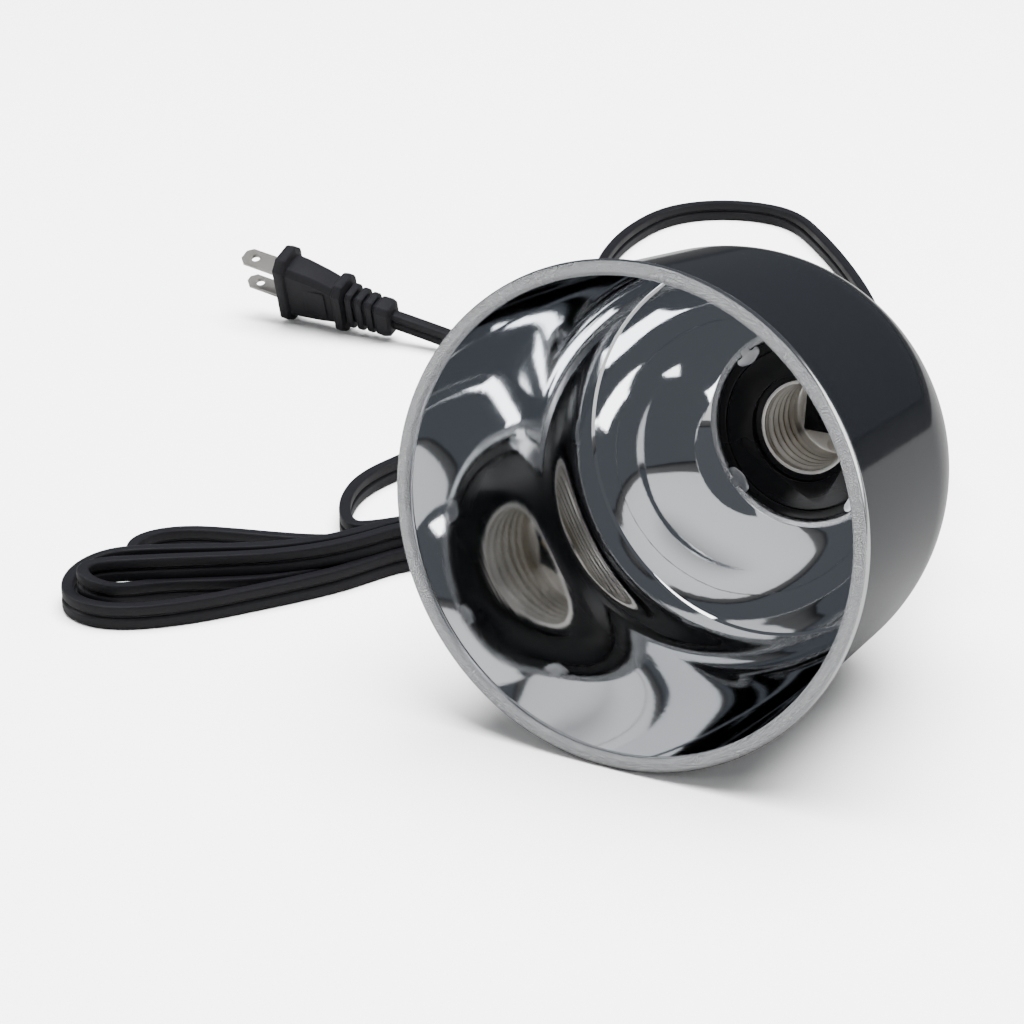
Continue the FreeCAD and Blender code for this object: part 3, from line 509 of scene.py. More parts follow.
def speck_group():
    """Small specks of dust and hairline scuffs."""
    group, given, out = shader_group(
        "Dust and scuffs", [("Speck scale", 700.0), ("Cover", 0.3)], ["Specks", "Scuffs"])
    place = group.nodes.new("ShaderNodeTexCoord").outputs["Object"]
    cells = group.nodes.new("ShaderNodeTexVoronoi")
    group.links.new(place, cells.inputs["Vector"])
    group.links.new(given.outputs["Speck scale"], cells.inputs["Scale"])
    dots = spread(group, cells.outputs["Distance"], 0.13, 0.05)
    patch = spread(group, noise(group, place, 60.0, 4.0), 0.5, 0.75)
    some = calculate(group, "MULTIPLY", dots, patch)
    group.links.new(calculate(group, "MULTIPLY", some, given.outputs["Cover"]),
                    out.inputs["Specks"])
    stretched = group.nodes.new("ShaderNodeMapping")
    stretched.inputs["Scale"].default_value = (1.0, 0.08, 0.35)
    stretched.inputs["Rotation"].default_value = (0.4, 0.7, 0.9)
    group.links.new(place, stretched.inputs["Vector"])
    scuffs = spread(group, noise(group, stretched.outputs[0], 900.0, 2.0), 0.66, 0.74)
    group.links.new(calculate(group, "MULTIPLY", scuffs, patch), out.inputs["Scuffs"])
    return group


GROUPS = {}
MATERIALS = {}


def use_group(tree, name, **values):
    """Places a shader node group, with its values, in a material."""
    if name not in GROUPS:
        makers = {"grain": grain_group, "rings": lathe_group, "specks": speck_group}
        GROUPS[name] = makers[name]()
    node = tree.nodes.new("ShaderNodeGroup")
    node.node_tree = GROUPS[name]
    for label, value in values.items():
        node.inputs[label.replace("_", " ")].default_value = value
    return node


def blended(tree, factor, low, high):
    """Runs from one number or colour to another as the factor rises from 0 to 1."""
    if isinstance(low, (int, float)):
        node = tree.nodes.new("ShaderNodeMapRange")
        node.inputs["To Min"].default_value = low
        node.inputs["To Max"].default_value = high
        tree.links.new(factor, node.inputs["Value"])
        return node.outputs["Result"]
    node = tree.nodes.new("ShaderNodeMix")
    node.data_type = "RGBA"
    node.inputs["A"].default_value = (*low, 1.0)
    node.inputs["B"].default_value = (*high, 1.0)
    tree.links.new(factor, node.inputs["Factor"])
    return node.outputs["Result"]


def material(name, base, dust, rough, metallic=0.0, grain=900.0, bump=0.02, depth=0.0001,
             rings=None, specks=0.3, patch=30.0, level=0.5):
    """A Principled material: colour and roughness vary, and a fine grain stands in relief."""
    made = bpy.data.materials.new(name)
    made.use_nodes = True
    tree = made.node_tree
    shader = tree.nodes["Principled BSDF"]
    surface = use_group(tree, "grain", Scale=grain, Patch_scale=patch)
    flecks = use_group(tree, "specks", Speck_scale=grain * 0.8, Cover=specks)
    tree.links.new(blended(tree, flecks.outputs["Specks"], base, dust),
                   shader.inputs["Base Color"])
    mixed = calculate(tree, "ADD", surface.outputs["Patches"], flecks.outputs["Scuffs"])
    tree.links.new(blended(tree, mixed, rough[0], rough[1]), shader.inputs["Roughness"])
    shader.inputs["Metallic"].default_value = metallic
    shader.inputs["Specular IOR Level"].default_value = level
    relief = tree.nodes.new("ShaderNodeBump")
    relief.inputs["Strength"].default_value = bump
    relief.inputs["Distance"].default_value = depth
    height = surface.outputs["Grain"]
    if rings:
        marks = use_group(tree, "rings", Ring_scale=rings[0], Waver=rings[1])
        height = calculate(tree, "ADD", calculate(tree, "MULTIPLY", height, rings[2]),
                           marks.outputs["Rings"])
    tree.links.new(height, relief.inputs["Height"])
    tree.links.new(relief.outputs["Normal"], shader.inputs["Normal"])
    return made


def dimmed(given, part):
    """A colour's red, green and blue, each made smaller by the same part."""
    return tuple(channel * part for channel in given)


def recipes():
    """Each finish: its name, colour, dust colour and roughness, then the other settings."""
    scene = bpy.context.scene
    shade, holder, cord = (scene.heat_lamp_shade, scene.heat_lamp_holder,
                           scene.heat_lamp_cord)
    dust = (0.20, 0.19, 0.18)
    metal = tuple(shade.metal)
    dull = dimmed(metal, 0.8)
    smooth = shade.mirror_roughness
    return {
        "enamel": (("Black enamel", tuple(shade.enamel), dust, (0.05, 0.10)),
                   dict(grain=500, bump=0.04, rings=(260.0, 0.004, 0.5), specks=0.08,
                        level=0.16)),
        "mirror": (("Polished aluminium", metal, dull, (smooth, smooth * 2.2), 1.0),
                   dict(grain=1600, bump=0.03, rings=(420.0, 0.003, 0.25), specks=0.5)),
        "rim": (("Rolled rim", dimmed(metal, 0.93), dull, (0.13, 0.22), 1.0),
                dict(grain=2600, bump=0.10, rings=(900.0, 0.001, 0.5))),
        "pebbled": (("Pebbled rim", dimmed(metal, 0.80), dull, (0.17, 0.28), 1.0),
                    dict(grain=1700, bump=0.85, depth=0.0003)),
        "ear": (("Ear metal", dimmed(metal, 0.84), dull, (0.30, 0.42), 1.0),
                dict(grain=1800, bump=0.12)),
        "fibre": (("Gasket fibre", (0.16, 0.15, 0.14), (0.25, 0.24, 0.22), (0.8, 0.95)),
                  dict(grain=1500, bump=0.4)),
        "phenolic": (("Moulded phenolic", tuple(holder.phenolic), dust, (0.24, 0.36)),
                     dict(grain=900, bump=0.06, specks=0.10, level=0.22)),
        "shell": (("Screw shell metal", tuple(holder.shell_metal), (0.5, 0.48, 0.45),
                   (0.30, 0.42), 0.8), dict(grain=2200, bump=0.08)),
        "brass": (("Contact brass", tuple(holder.brass), (0.42, 0.30, 0.15),
                   (0.20, 0.34), 1.0), dict(grain=2000, bump=0.08)),
        "steel": (("Zinc plated steel", (0.62, 0.62, 0.63), (0.40, 0.40, 0.41),
                   (0.25, 0.38), 1.0), dict(grain=2400, bump=0.08)),
        "vinyl": (("Cord vinyl", tuple(cord.vinyl), dust, (0.38, 0.50)),
                  dict(grain=1300, bump=0.10, specks=0.04, patch=70.0, level=0.22)),
        "plug": (("Plug vinyl", dimmed(cord.vinyl, 1.15), dust, (0.40, 0.52)),
                 dict(grain=1700, bump=0.30, specks=0.05, patch=90.0, level=0.2)),
        "nickel": (("Nickel plate", tuple(cord.nickel), (0.48, 0.45, 0.41),
                    (0.24, 0.36), 1.0), dict(grain=2400, bump=0.08)),
    }


def paint(name):
    """The finish of that name, made when it is first asked for."""
    if name not in MATERIALS:
        fixed, named = recipes()[name]
        MATERIALS[name] = material(*fixed, **named)
    return MATERIALS[name]


# ---------------------------------------------------------------- shade


# The angle on the rolled rim, in degrees, where the outer wall runs into it.
BEAD_FOOT = 123


def shade_profile(size):
    """The sheet's closed outline, from the inner wall over the crown back to the rim.

    Each entry is a point and the finish of the stretch that starts there.
    """
    taper = size.group.wall_taper
    sine, cosine = math.sin(taper), math.cos(taper)
    bead = (size.dome_radius + (size.dome_centre - size.bead_radius) * sine) / cosine
    centre = (bead + size.bead_overhang, size.bead_radius)
    inner = size.dome_radius - size.sheet
    crown = inner - size.crease_step
    lip = size.opening_radius + size.lip_width
    lip_depth = size.dome_centre + math.sqrt(crown ** 2 - lip ** 2)
    seat = lip_depth + size.seat_recess
    neck = size.opening_radius + size.sheet + 0.1
    middle = (0.0, size.dome_centre)

    def sphere_angle(radius, depth):
        return math.degrees(math.asin((depth - size.dome_centre) / radius))

    def across_angle(radius, across):
        return math.degrees(math.acos(across / radius))

    outline = []

    def add(points, finish):
        outline.extend((point, finish) for point in points)

    def straight(first, last, steps):
        return [(first[0] + (last[0] - first[0]) * k / steps,
                 first[1] + (last[1] - first[1]) * k / steps) for k in range(steps)]

    wall_steps = 14
    start = (bead - size.sheet / cosine - 0.05, centre[1] + 0.75)
    low = (inner * cosine, size.dome_centre + inner * sine)
    add(straight(start, low, wall_steps), "mirror")
    add(arc(middle, inner, math.degrees(taper), sphere_angle(inner, size.crease_height), 16),
        "mirror")
    crease = size.crease_height + size.crease_step
    add(filleted([(math.sqrt(inner ** 2 - (size.crease_height - size.dome_centre) ** 2) - 0.15,
                   size.crease_height + 0.05),
                  (math.sqrt(crown ** 2 - (crease - size.dome_centre) ** 2) - 0.12,
                   crease - 0.1)]), "mirror")
    add(arc(middle, crown, sphere_angle(crown, crease), across_angle(crown, lip) - 0.4, 26),
        "mirror")
    height = size.lip_height
    add(filleted([(lip, lip_depth), (lip - 0.35, lip_depth - height, 0.4),
                  (size.opening_radius + 0.35, lip_depth - height, 0.4),
                  (size.opening_radius, lip_depth)], 4), "pebbled")
    add([(size.opening_radius, seat), (size.seat_bore, seat)], "pebbled")
    add([(size.seat_bore, seat + size.sheet)], "enamel")
    add(filleted([(size.seat_bore, seat + size.sheet), (neck, seat + size.sheet, 0.7),
                  (neck, size.dome_centre + math.sqrt(size.dome_radius ** 2 - neck ** 2), 0.5),
                  arc(middle, size.dome_radius, 60, 60, 1)[0]])[1:], "enamel")
    add(arc(middle, size.dome_radius, 59, math.degrees(taper), 44), "enamel")
    high = (size.dome_radius * cosine, size.dome_centre + size.dome_radius * sine)
    foot = arc(centre, size.bead_radius, BEAD_FOOT, BEAD_FOOT, 1)[0]
    add(straight(high, foot, wall_steps)[1:], "enamel")

    def roll(first, last, steps, radius=size.bead_radius):
        return [(across, max(depth, size.rim_land)) for across, depth
                in arc(centre, radius, first, last, steps)]

    groove, band = size.bead_radius - 0.28, size.bead_radius - 0.05
    add(roll(BEAD_FOOT, 32, 12), "enamel")
    add(roll(30, 4, 6), "rim")
    add(roll(2.5, 0.5, 1, groove), "rim")
    add(roll(-1, -32, 6), "rim")
    add(roll(-34, -96, 10), "pebbled")
    add(roll(-98, -152, 8, band), "pebbled")
    add(roll(-154, -200, 8), "rim")
    return outline


class HEATLAMP_OT_shade(bpy.types.Operator):
    """Build the spun shade: enamel outside, mirror inside and a rolled rim"""
    bl_idname = "heatlamp.shade"
    bl_label = "Shade"

    def execute(self, context):
        size = Millimetres(context.scene.heat_lamp_shade)
        outline = shade_profile(size)
        finishes = ["enamel", "mirror", "rim", "pebbled"]

        def profile_at(angle):
            points = []
            for (across, depth), finish in outline:
                if finish == "mirror":
                    across += 0.045 * math.sin(3 * angle + 1.1) * math.sin(depth / 11)
                    across += 0.025 * math.sin(5 * angle - depth / 7)
                points.append((across, depth))
            return points

        made = turned("shade", profile_at, LAMP, [paint(name) for name in finishes], 288,
                      slots=[finishes.index(finish) for point, finish in outline])
        declared(made, "lamp", "spun_aluminium", "reflector")
        return {"FINISHED"}


# How far the ears' backs stand in front of the lampholder's seat.
EAR_FRONT = 3.4


class HEATLAMP_OT_ears(bpy.types.Operator):
    """Build the bent ears that hold the lampholder in the crown"""
    bl_idname = "heatlamp.ears"
    bl_label = "Ears"

    def execute(self, context):
        settings = context.scene.heat_lamp_shade
        size = Millimetres(settings)
        wide, reach = size.ear_half_width, size.ear_length
        half = [(1.5, -0.4), (1.45, reach * 0.22), (2.3, reach * 0.30), (wide * 0.86, reach * 0.27),
                (wide, reach * 0.42), (wide * 0.97, reach * 0.62), (wide * 0.78, reach * 0.80),
                (wide * 0.42, reach * 0.93), (wide * 0.18, reach)]
        outline = half + [(-x, y) for x, y in reversed(half)]
        outline = filleted([(x, y, 0.5) for x, y in outline], 3)
        root = size.opening_radius + size.lip_width / 2
        thick = size.sheet * 0.6
        front = SEAT_DEPTH - EAR_FRONT - thick

        def ring(depth, inset):
            middle = reach * 0.5
            return [(root - (y + (middle - y) * inset), x * (1 - inset), depth)
                    for x, y in outline]

        made = lofted("ears", [ring(front, 0.06), ring(front + 0.08, 0.015),
                               ring(front + 0.2, 0.0), ring(front + thick - 0.1, 0.0),
                               ring(front + thick, 0.03)],
                      Matrix.Identity(4), [paint("ear")])
        repeated(made, ring_tree(), LAMP, Count=settings.ear_count,
                 First_angle=TURN / 8, Material=paint("ear"))
        declared(made, "lamp", "spun_aluminium")
        return {"FINISHED"}


# ---------------------------------------------------------------- lampholder
# Depths behind the lampholder's seat: the rear cap's face and the strain relief's tip.
CAP_FACE = 46.0
BOOT_TIP = 67.6


class HEATLAMP_OT_lampholder(bpy.types.Operator):
    """Build the moulded housing, its insert and the gasket behind its flange"""
    bl_idname = "heatlamp.lampholder"
    bl_label = "Lampholder body"

    def execute(self, context):
        flange, tube, groove, bore, counterbore = 27.5, 24.3, 23.9, 21.8, 24.7
        front, gasket, step, back = -3.3, -0.8, -2.1, 30.0
        outside = [(tube, gasket)]
        for start in (3.0, 26.0):
            outside += [(tube, start, 0.2), (groove, start + 0.3, 0.2),
                        (groove, start + 0.9, 0.2), (tube, start + 1.2, 0.2)]
        outline = filleted(
            [(counterbore, front, 0.35), (flange, front, 0.5), (flange, gasket, 0.3)]
            + outside + [(tube, back, 0.3), (bore, back, 0.3), (bore, step),
                         (counterbore, step)], 4)
        made = turned("housing_moulding", lambda angle: outline, HOLDER,
                      [paint("phenolic")], 160)
        declared(made, "lamp", "black_phenolic", "housing")
        softened("socket_insert", "socket_block", "lamp", "black_phenolic",
                 paint("phenolic"), 0.3)
        softened("gasket", "flange_gasket", "lamp", "fibre_gasket", paint("fibre"), 0.1)
        return {"FINISHED"}


class HEATLAMP_OT_screw_shell(bpy.types.Operator):
    """Build the rolled screw shell with its helical thread and its window"""
    bl_idname = "heatlamp.screw_shell"
    bl_label = "Screw shell"

    def execute(self, context):
        size = Millimetres(context.scene.heat_lamp_holder)
        root = size.thread_radius + size.thread_depth
        sheet = size.shell_sheet
        low, high = 0.2, 19.6
        steps = 76
        start, end = -0.55, size.shell_floor - sheet - 0.5
        heights = [start + (end - start) * k / steps for k in range(steps + 1)]

        def wall(angle, height):
            turn = (height - 1.8) / size.thread_pitch - angle / TURN
            crest = 0.5 + 0.5 * math.cos(TURN * turn)
            fade = min(1.0, max(0.0, (height - low) / 1.2), max(0.0, (high - height) / 1.4))
            return root - size.thread_depth * fade * crest ** 1.2

        def profile_at(angle):
            window = min(size.window_half_length / max(abs(math.cos(angle)), 1e-6),
                         size.window_half_width / max(abs(math.sin(angle)), 1e-6))
            floor = size.shell_floor
            inside = [(wall(angle, height), height) for height in heights]
            outside = [(across + sheet, height) for across, height in reversed(inside)]
            return (filleted([(root + 0.3, -1.05), (root + 0.02, -0.95)]) + inside
                    + [(root - 0.2, floor - sheet - 0.15), (root - 0.5, floor - sheet),
                       (window + 0.3, floor - sheet), (window, floor - sheet * 0.5),
                       (window + 0.2, floor), (root - 0.1, floor), (root + sheet, floor - 0.5)]
                    + outside + [(root + sheet + 0.05, -0.6), (root + 1.0, -0.6),
                                 (root + 1.05, -0.8), (root + 0.95, -1.0)])

        made = turned("thread_shell", profile_at, HOLDER, [paint("shell")], 168)
        declared(made, "lamp", "shell_metal", "screw_shell")
        return {"FINISHED"}


class HEATLAMP_OT_contacts(bpy.types.Operator):
    """Build the contacts, rivets, terminals, screws and lugs"""
    bl_idname = "heatlamp.contacts"
    bl_label = "Contacts and terminals"

    def execute(self, context):
        softened("centre_contact", "contact_leaf", "contact", "contact_brass",
                 paint("brass"), 0.08)
        for node, name in (("contact_foot", "leaf_foot"), ("contact_rivet", "leaf_rivet"),
                           ("live_terminal", "live_plate"),
                           ("neutral_terminal", "neutral_plate"), ("lead_lugs", "ring_lugs"),
                           ("clamp_nuts", "moulded_nuts")):
            softened(node, name, "lamp", "contact_brass", paint("brass"), 0.08)
        softened("shell_rivets", "rivets_of_shell", "lamp", "shell_metal",
                 paint("shell"), 0.12)
        softened("terminal_screws", "binding_screws", "lamp", "screw_steel",
                 paint("steel"), 0.12)
        return {"FINISHED"}


class HEATLAMP_OT_rear_cap(bpy.types.Operator):
    """Build the vented cap over the terminals and its two screws"""
    bl_idname = "heatlamp.rear_cap"
    bl_label = "Rear cap"

    def execute(self, context):
        softened("rear_cap", "vented_cap", "lamp", "black_phenolic", paint("phenolic"),
                 0.45)
        softened("cap_screws", "cap_fixings", "lamp", "screw_steel", paint("steel"), 0.2)
        return {"FINISHED"}


class HEATLAMP_OT_strain_relief(bpy.types.Operator):
    """Build the ribbed strain relief and the two leads inside the cap"""
    bl_idname = "heatlamp.strain_relief"
    bl_label = "Strain relief"

    def execute(self, context):
        settings = context.scene.heat_lamp_holder
        neck, head = 5.0, 7.5
        outline = filleted([
            (0.0, 41.8), (head, 41.8, 0.4), (head, 43.8, 0.4), (neck, 43.8),
            (neck, CAP_FACE), (head, CAP_FACE, 0.4), (head, CAP_FACE + 3.0, 0.8),
            (5.6, CAP_FACE + 3.8, 0.4), (4.3, BOOT_TIP - 1.0), (4.45, BOOT_TIP, 0.5),
            (0.0, BOOT_TIP)], 4)
        boot = turned("relief_boot", lambda angle: outline, HOLDER, [paint("vinyl")], 72,
                      closed=False)
        declared(boot, "lamp", "cord_jacket", "cord_bushing")
        rib = filleted([(4.2, -0.75), (5.9, -0.75, 0.4), (5.9, 0.75, 0.4), (4.2, 0.75)], 3)
        ribs = turned("relief_ribs", lambda angle: rib, Matrix.Identity(4),
                      [paint("vinyl")], 48)
        repeated(ribs, row_tree(), HOLDER @ Matrix.Translation((0, 0, CAP_FACE + 5.6)),
                 Count=settings.rib_count, Pitch=settings.rib_pitch / MM, Shrink=0.045,
                 Material=paint("vinyl"))
        declared(ribs, "lamp", "cord_jacket")
        for node, name in (("live_lead", "live_wire"), ("neutral_lead", "neutral_wire")):
            softened(node, name, "lamp", "cord_jacket", paint("vinyl"), 0)
        return {"FINISHED"}


# ---------------------------------------------------------------- plug

# The moulding from its face to its tail: half length, half width, corner and height.
PLUG_OUTLINE = [
    (14.6, 6.6, 3.3, 0.0), (15.2, 7.2, 3.4, -0.35), (15.5, 7.5, 3.5, -0.9),
    (15.5, 7.5, 3.5, -3.6), (15.1, 7.1, 3.4, -4.2), (14.2, 6.4, 3.2, -4.5),
    (12.2, 6.1, 2.2, -4.7), (11.8, 6.0, 2.1, -5.4), (11.7, 5.9, 2.1, -8.5),
    (11.2, 5.6, 2.1, -13.0), (10.4, 5.4, 2.0, -17.5), (9.5, 5.25, 2.0, -21.0),
    (8.9, 5.2, 2.0, -23.5), (9.4, 5.4, 2.2, -24.0), (11.0, 6.3, 2.8, -24.3),
    (11.5, 6.7, 3.0, -24.9), (11.5, 6.7, 3.0, -27.0), (11.0, 6.3, 2.8, -27.8),
    (8.4, 5.0, 2.0, -28.1), (6.2, 3.5, 1.2, -28.4), (6.0, 3.4, 1.2, -40.8),
    (6.6, 4.2, 1.6, -41.0), (7.1, 4.7, 1.8, -41.5), (7.2, 4.8, 1.8, -44.5),
    (6.8, 4.4, 1.8, -46.2), (5.6, 3.4, 1.6, -47.0)]


class HEATLAMP_OT_plug(bpy.types.Operator):
    """Build the moulded plug, its grip ribs and its two blades"""
    bl_idname = "heatlamp.plug"
    bl_label = "Plug"

    def execute(self, context):
        size = Millimetres(context.scene.heat_lamp_cord)
        rings = [octagon(*row) for row in PLUG_OUTLINE]
        body = lofted("plug_moulding", rings, PLUG, [paint("plug")], 36)
        declared(body, "lamp", "plug_moulding", "plug_body")
        rib_rings = [octagon(8.1, 4.6, 1.6, -0.05), octagon(8.5, 4.95, 1.7, -0.5),
                     octagon(8.5, 4.95, 1.7, -2.2), octagon(8.0, 4.6, 1.6, -2.75)]
        ribs = lofted("plug_ribs", rib_rings, Matrix.Identity(4), [paint("plug")], 36)
        repeated(ribs, row_tree(), PLUG @ Matrix.Translation((0, 0, -28.8)), Count=3,
                 Pitch=-4.15, Shrink=0.05, Material=paint("plug"))
        declared(ribs, "lamp", "plug_moulding")
        panel_rings = []
        for height, inset in ((0.0, 0.0), (0.45, 0.1), (0.6, 0.45)):
            outline = [(-7.2 + inset, 6.6 - inset, 0.8), (6.9 - inset, 4.9 - inset, 0.8),
                       (6.9 - inset, -4.9 + inset, 0.8), (-7.2 + inset, -6.6 + inset, 0.8)]
            panel_rings.append([(across, 5.35 + height - 0.028 * (along + 7.2), along - 13.5)
                                for along, across in filleted(outline, 3)])
        panel = lofted("plug_panels", panel_rings, Matrix.Identity(4), [paint("plug")], 36)
        repeated(panel, ring_tree(), PLUG, Count=2, First_angle=0.0,
                 Material=paint("plug"))
        declared(panel, "lamp", "plug_moulding")
        for name, side, half in (("wide", 1, size.wide_half), ("narrow", -1, size.narrow_half)):
            blade(name, side * size.blade_gap / 2, half, size)
        return {"FINISHED"}


def blade(name, across, half, size):
    """A flat blade with a chamfered tip and a round hole."""
    tip = size.blade_length
    hole_height, hole_radius, sheet = 11.9, 1.6, size.blade_sheet / 2
    count = 48
    chamfer = 2.0
    corners = [(half, -8.0), (half, tip - chamfer), (half - chamfer, tip),
               (-half + chamfer, tip), (-half, tip - chamfer), (-half, -8.0)]

    def edge_at(angle):
        """Where a ray from the hole's middle leaves the blade's outline."""
        ray = Vector((math.cos(angle), math.sin(angle)))
        best = 1e9
        for number, first in enumerate(corners):
            start = Vector((first[0], first[1] - hole_height))
            last = corners[(number + 1) % len(corners)]
            run = Vector((last[0], last[1] - hole_height)) - start
            cross = ray.x * run.y - ray.y * run.x
            if abs(cross) < 1e-9:
                continue
            reach = (start.x * run.y - start.y * run.x) / cross
            along = (start.x * ray.y - start.y * ray.x) / cross
            if reach > 0 and -1e-6 <= along <= 1 + 1e-6:
                best = min(best, reach)
        return ray * best

    angles = sorted([TURN * k / count for k in range(count)]
                    + [math.atan2(y - hole_height, x) % TURN for x, y in corners])
    loops = []
    for thick, hole_grow, edge_in in ((-sheet, 0.12, 0.15), (-sheet + 0.15, 0.0, 0.0),
                                      (sheet - 0.15, 0.0, 0.0), (sheet, 0.12, 0.15)):
        outer, inner = [], []
        for angle in angles:
            edge = edge_at(angle)
            edge = edge * (1 - edge_in / edge.length)
            outer.append((across + thick, edge.x, edge.y + hole_height))
            radius = hole_radius + hole_grow
            inner.append((across + thick, math.cos(angle) * radius,
                          math.sin(angle) * radius + hole_height))
        loops.append((outer, inner))
    rings = [loops[0][1]] + [outer for outer, inner in loops] + [
        inner for outer, inner in reversed(loops)]
    total = len(angles)
    vertices = [point for ring in rings for point in ring]
    faces = []
    for number in range(len(rings) - 1):
        for k in range(total):
            after = (k + 1) % total
            faces.append((number * total + k, number * total + after,
                          (number + 1) * total + after, (number + 1) * total + k))
    made = piece(name + "_prong", vertices, faces, PLUG, [paint("nickel")], sharp=28)
    return declared(made, "lamp", "blade_nickel", name + "_blade")


# ---------------------------------------------------------------- cord


# The middle of a cord that stands on edge on the floor.
FLOOR = 4.0
# Straight stretches: inside the strain relief, out of it, into the plug's tail, inside it.
HIDDEN_START, FIRST_RUN, TAIL_RUN, HIDDEN_END = 0.006, 0.014, 0.02, 0.004

# Millimetres in the row frame, from behind the strain relief to the hank.
RUN_TO_HANK = [
    (-5.0, 128.5, 37.0), (-12.0, 145.0, 24.0), (-21.0, 162.5, 12.5), (-31.5, 182.0, 5.6),
    (-44.0, 205.0, FLOOR), (-61.5, 237.5, FLOOR), (-83.0, 275.0, FLOOR),
    (-107.0, 308.5, FLOOR), (-130.0, 336.5, FLOOR), (-152.5, 360.5, FLOOR),
    (-172.0, 364.0, FLOOR), (-190.5, 356.0, FLOOR), (-201.5, 339.0, FLOOR),
    (-202.5, 312.0, FLOOR), (-198.0, 285.0, FLOOR), (-190.0, 260.0, FLOOR),
    (-179.0, 235.0, FLOOR), (-165.0, 211.0, FLOOR), (-149.0, 189.0, FLOOR),
    (-134.5, 164.0, FLOOR), (-123.0, 136.0, FLOOR), (-115.0, 107.0, FLOOR),
    (-108.5, 80.0, FLOOR), (-101.0, 57.0, 5.0), (-94.5, 38.5, 7.8)]

# The hank, as distance from its narrow end towards its broad one, distance towards the
# front, and height. Strands lie on edge, on the floor or on those below.
LOW, HIGH = 4.0, 10.9
HANK = [
    (-2, -8, 10.2), (5, -2.5, HIGH), (16, 0.3, HIGH), (30, 0.5, HIGH), (44, 0.2, HIGH),
    (55, 4.5, HIGH), (68, 8.3, HIGH), (85, 9.0, HIGH), (99, 6.7, HIGH), (114, 3.4, HIGH),
    (126, 1.2, HIGH), (135, -0.3, HIGH), (141, 0.4, HIGH), (143.6, 4.4, 10.6),
    (141.8, 9.0, 9.2), (136.5, 10.4, 7.2), (130, 7.0, 5.0), (122, 4.4, LOW),
    (113, 5.6, LOW), (100, 9.0, LOW), (85, 10.6, LOW), (68, 7.6, LOW), (55, 2.8, LOW),
    (44, -2.2, LOW), (30, -3.6, LOW), (17, -4.6, LOW), (5, -6.2, LOW), (-4, -3.5, LOW),
    (-6.5, 2.5, LOW), (-2.5, 8.0, LOW), (6, 9.0, LOW), (18, 6.2, LOW), (30, 3.2, LOW),
    (44, 2.6, LOW), (55, 7.0, LOW), (66, 11.8, LOW), (81, 15.4, LOW), (96, 18.2, LOW),
    (110, 20.6, LOW), (124, 21.2, LOW), (135, 19.4, LOW), (143, 14.6, LOW),
    (147.2, 7.0, LOW), (147.4, -0.8, LOW), (144.6, -7.8, 4.8), (139, -11.4, 6.8),
    (132, -10.4, 9.2), (124, -6.6, 10.8), (112, -3.4, HIGH), (99, 0.0, HIGH),
    (85, 3.4, HIGH), (68, 3.2, HIGH), (55, -0.3, HIGH), (44, -4.6, HIGH),
    (30, -6.0, HIGH), (19, -8.0, 10.4), (12, -12.4, 8.4), (13.5, -17.2, 5.8),
    (24, -18.4, 4.2), (34, -15.8, LOW), (44, -12.2, LOW), (54, -11.2, LOW),
    (66, -13.4, LOW), (78, -19.4, LOW), (91, -27.0, LOW), (102, -32.4, LOW),
    (111.5, -33.4, LOW), (119, -30.6, LOW), (123, -24.5, LOW), (123.2, -16.8, LOW),
    (119.6, -9.2, LOW), (112.5, -3.6, LOW), (103, 0.6, LOW), (92, 3.6, LOW),
    (79, 4.4, LOW), (66, 1.8, LOW), (55, -2.2, LOW), (44, -6.8, LOW), (30, -8.6, LOW),
    (17, -9.8, LOW), (6, -12.4, LOW), (1.0, -18.6, LOW), (7.5, -24.0, LOW),
    (20, -23.6, LOW), (33, -21.0, LOW), (45, -19.4, LOW)]
HANK_BROAD = Vector((-170.0, -62.0))
HANK_NARROW = Vector((-88.0, 24.0))

# Millimetres in the row frame, from the hank's side to the plug.
RUN_TO_PLUG = [
    (-141.0, -1.5, FLOOR), (-153.0, 15.0, FLOOR), (-159.0, 36.0, FLOOR),
    (-155.0, 60.0, FLOOR), (-150.0, 84.0, FLOOR), (-148.0, 109.0, FLOOR),
    (-153.0, 134.0, FLOOR), (-168.0, 154.0, FLOOR), (-187.0, 163.5, FLOOR + 0.1)]
PLUG_END = -47.0

# The cord's sections lie this far apart. It turns over in the last of them.
CORD_STEP = 1.7 * MM
TWIST_SECTIONS, TURNING_SECTIONS = 45, 35


def cord_route():
    """The cord's points from inside the strain relief to inside the plug, in metres."""
    exit_point = HOLDER @ Vector((0, 0, BOOT_TIP))
    along = (HANK_BROAD - HANK_NARROW).normalized()
    front = Vector((-along.y, along.x))
    points = [exit_point - AXIS * HIDDEN_START, exit_point, exit_point + AXIS * FIRST_RUN]
    points += [Vector(point) * MM for point in RUN_TO_HANK]
    for distance, side, height in HANK:
        place = HANK_NARROW + along * distance + front * side
        points.append(Vector((place.x, place.y, height)) * MM)
    points += [Vector(point) * MM for point in RUN_TO_PLUG]
    tail = PLUG @ Vector((0, 0, PLUG_END))
    points += [tail - PLUG_HEADING * TAIL_RUN, tail, tail + PLUG_HEADING * HIDDEN_END]
    return exit_point, points


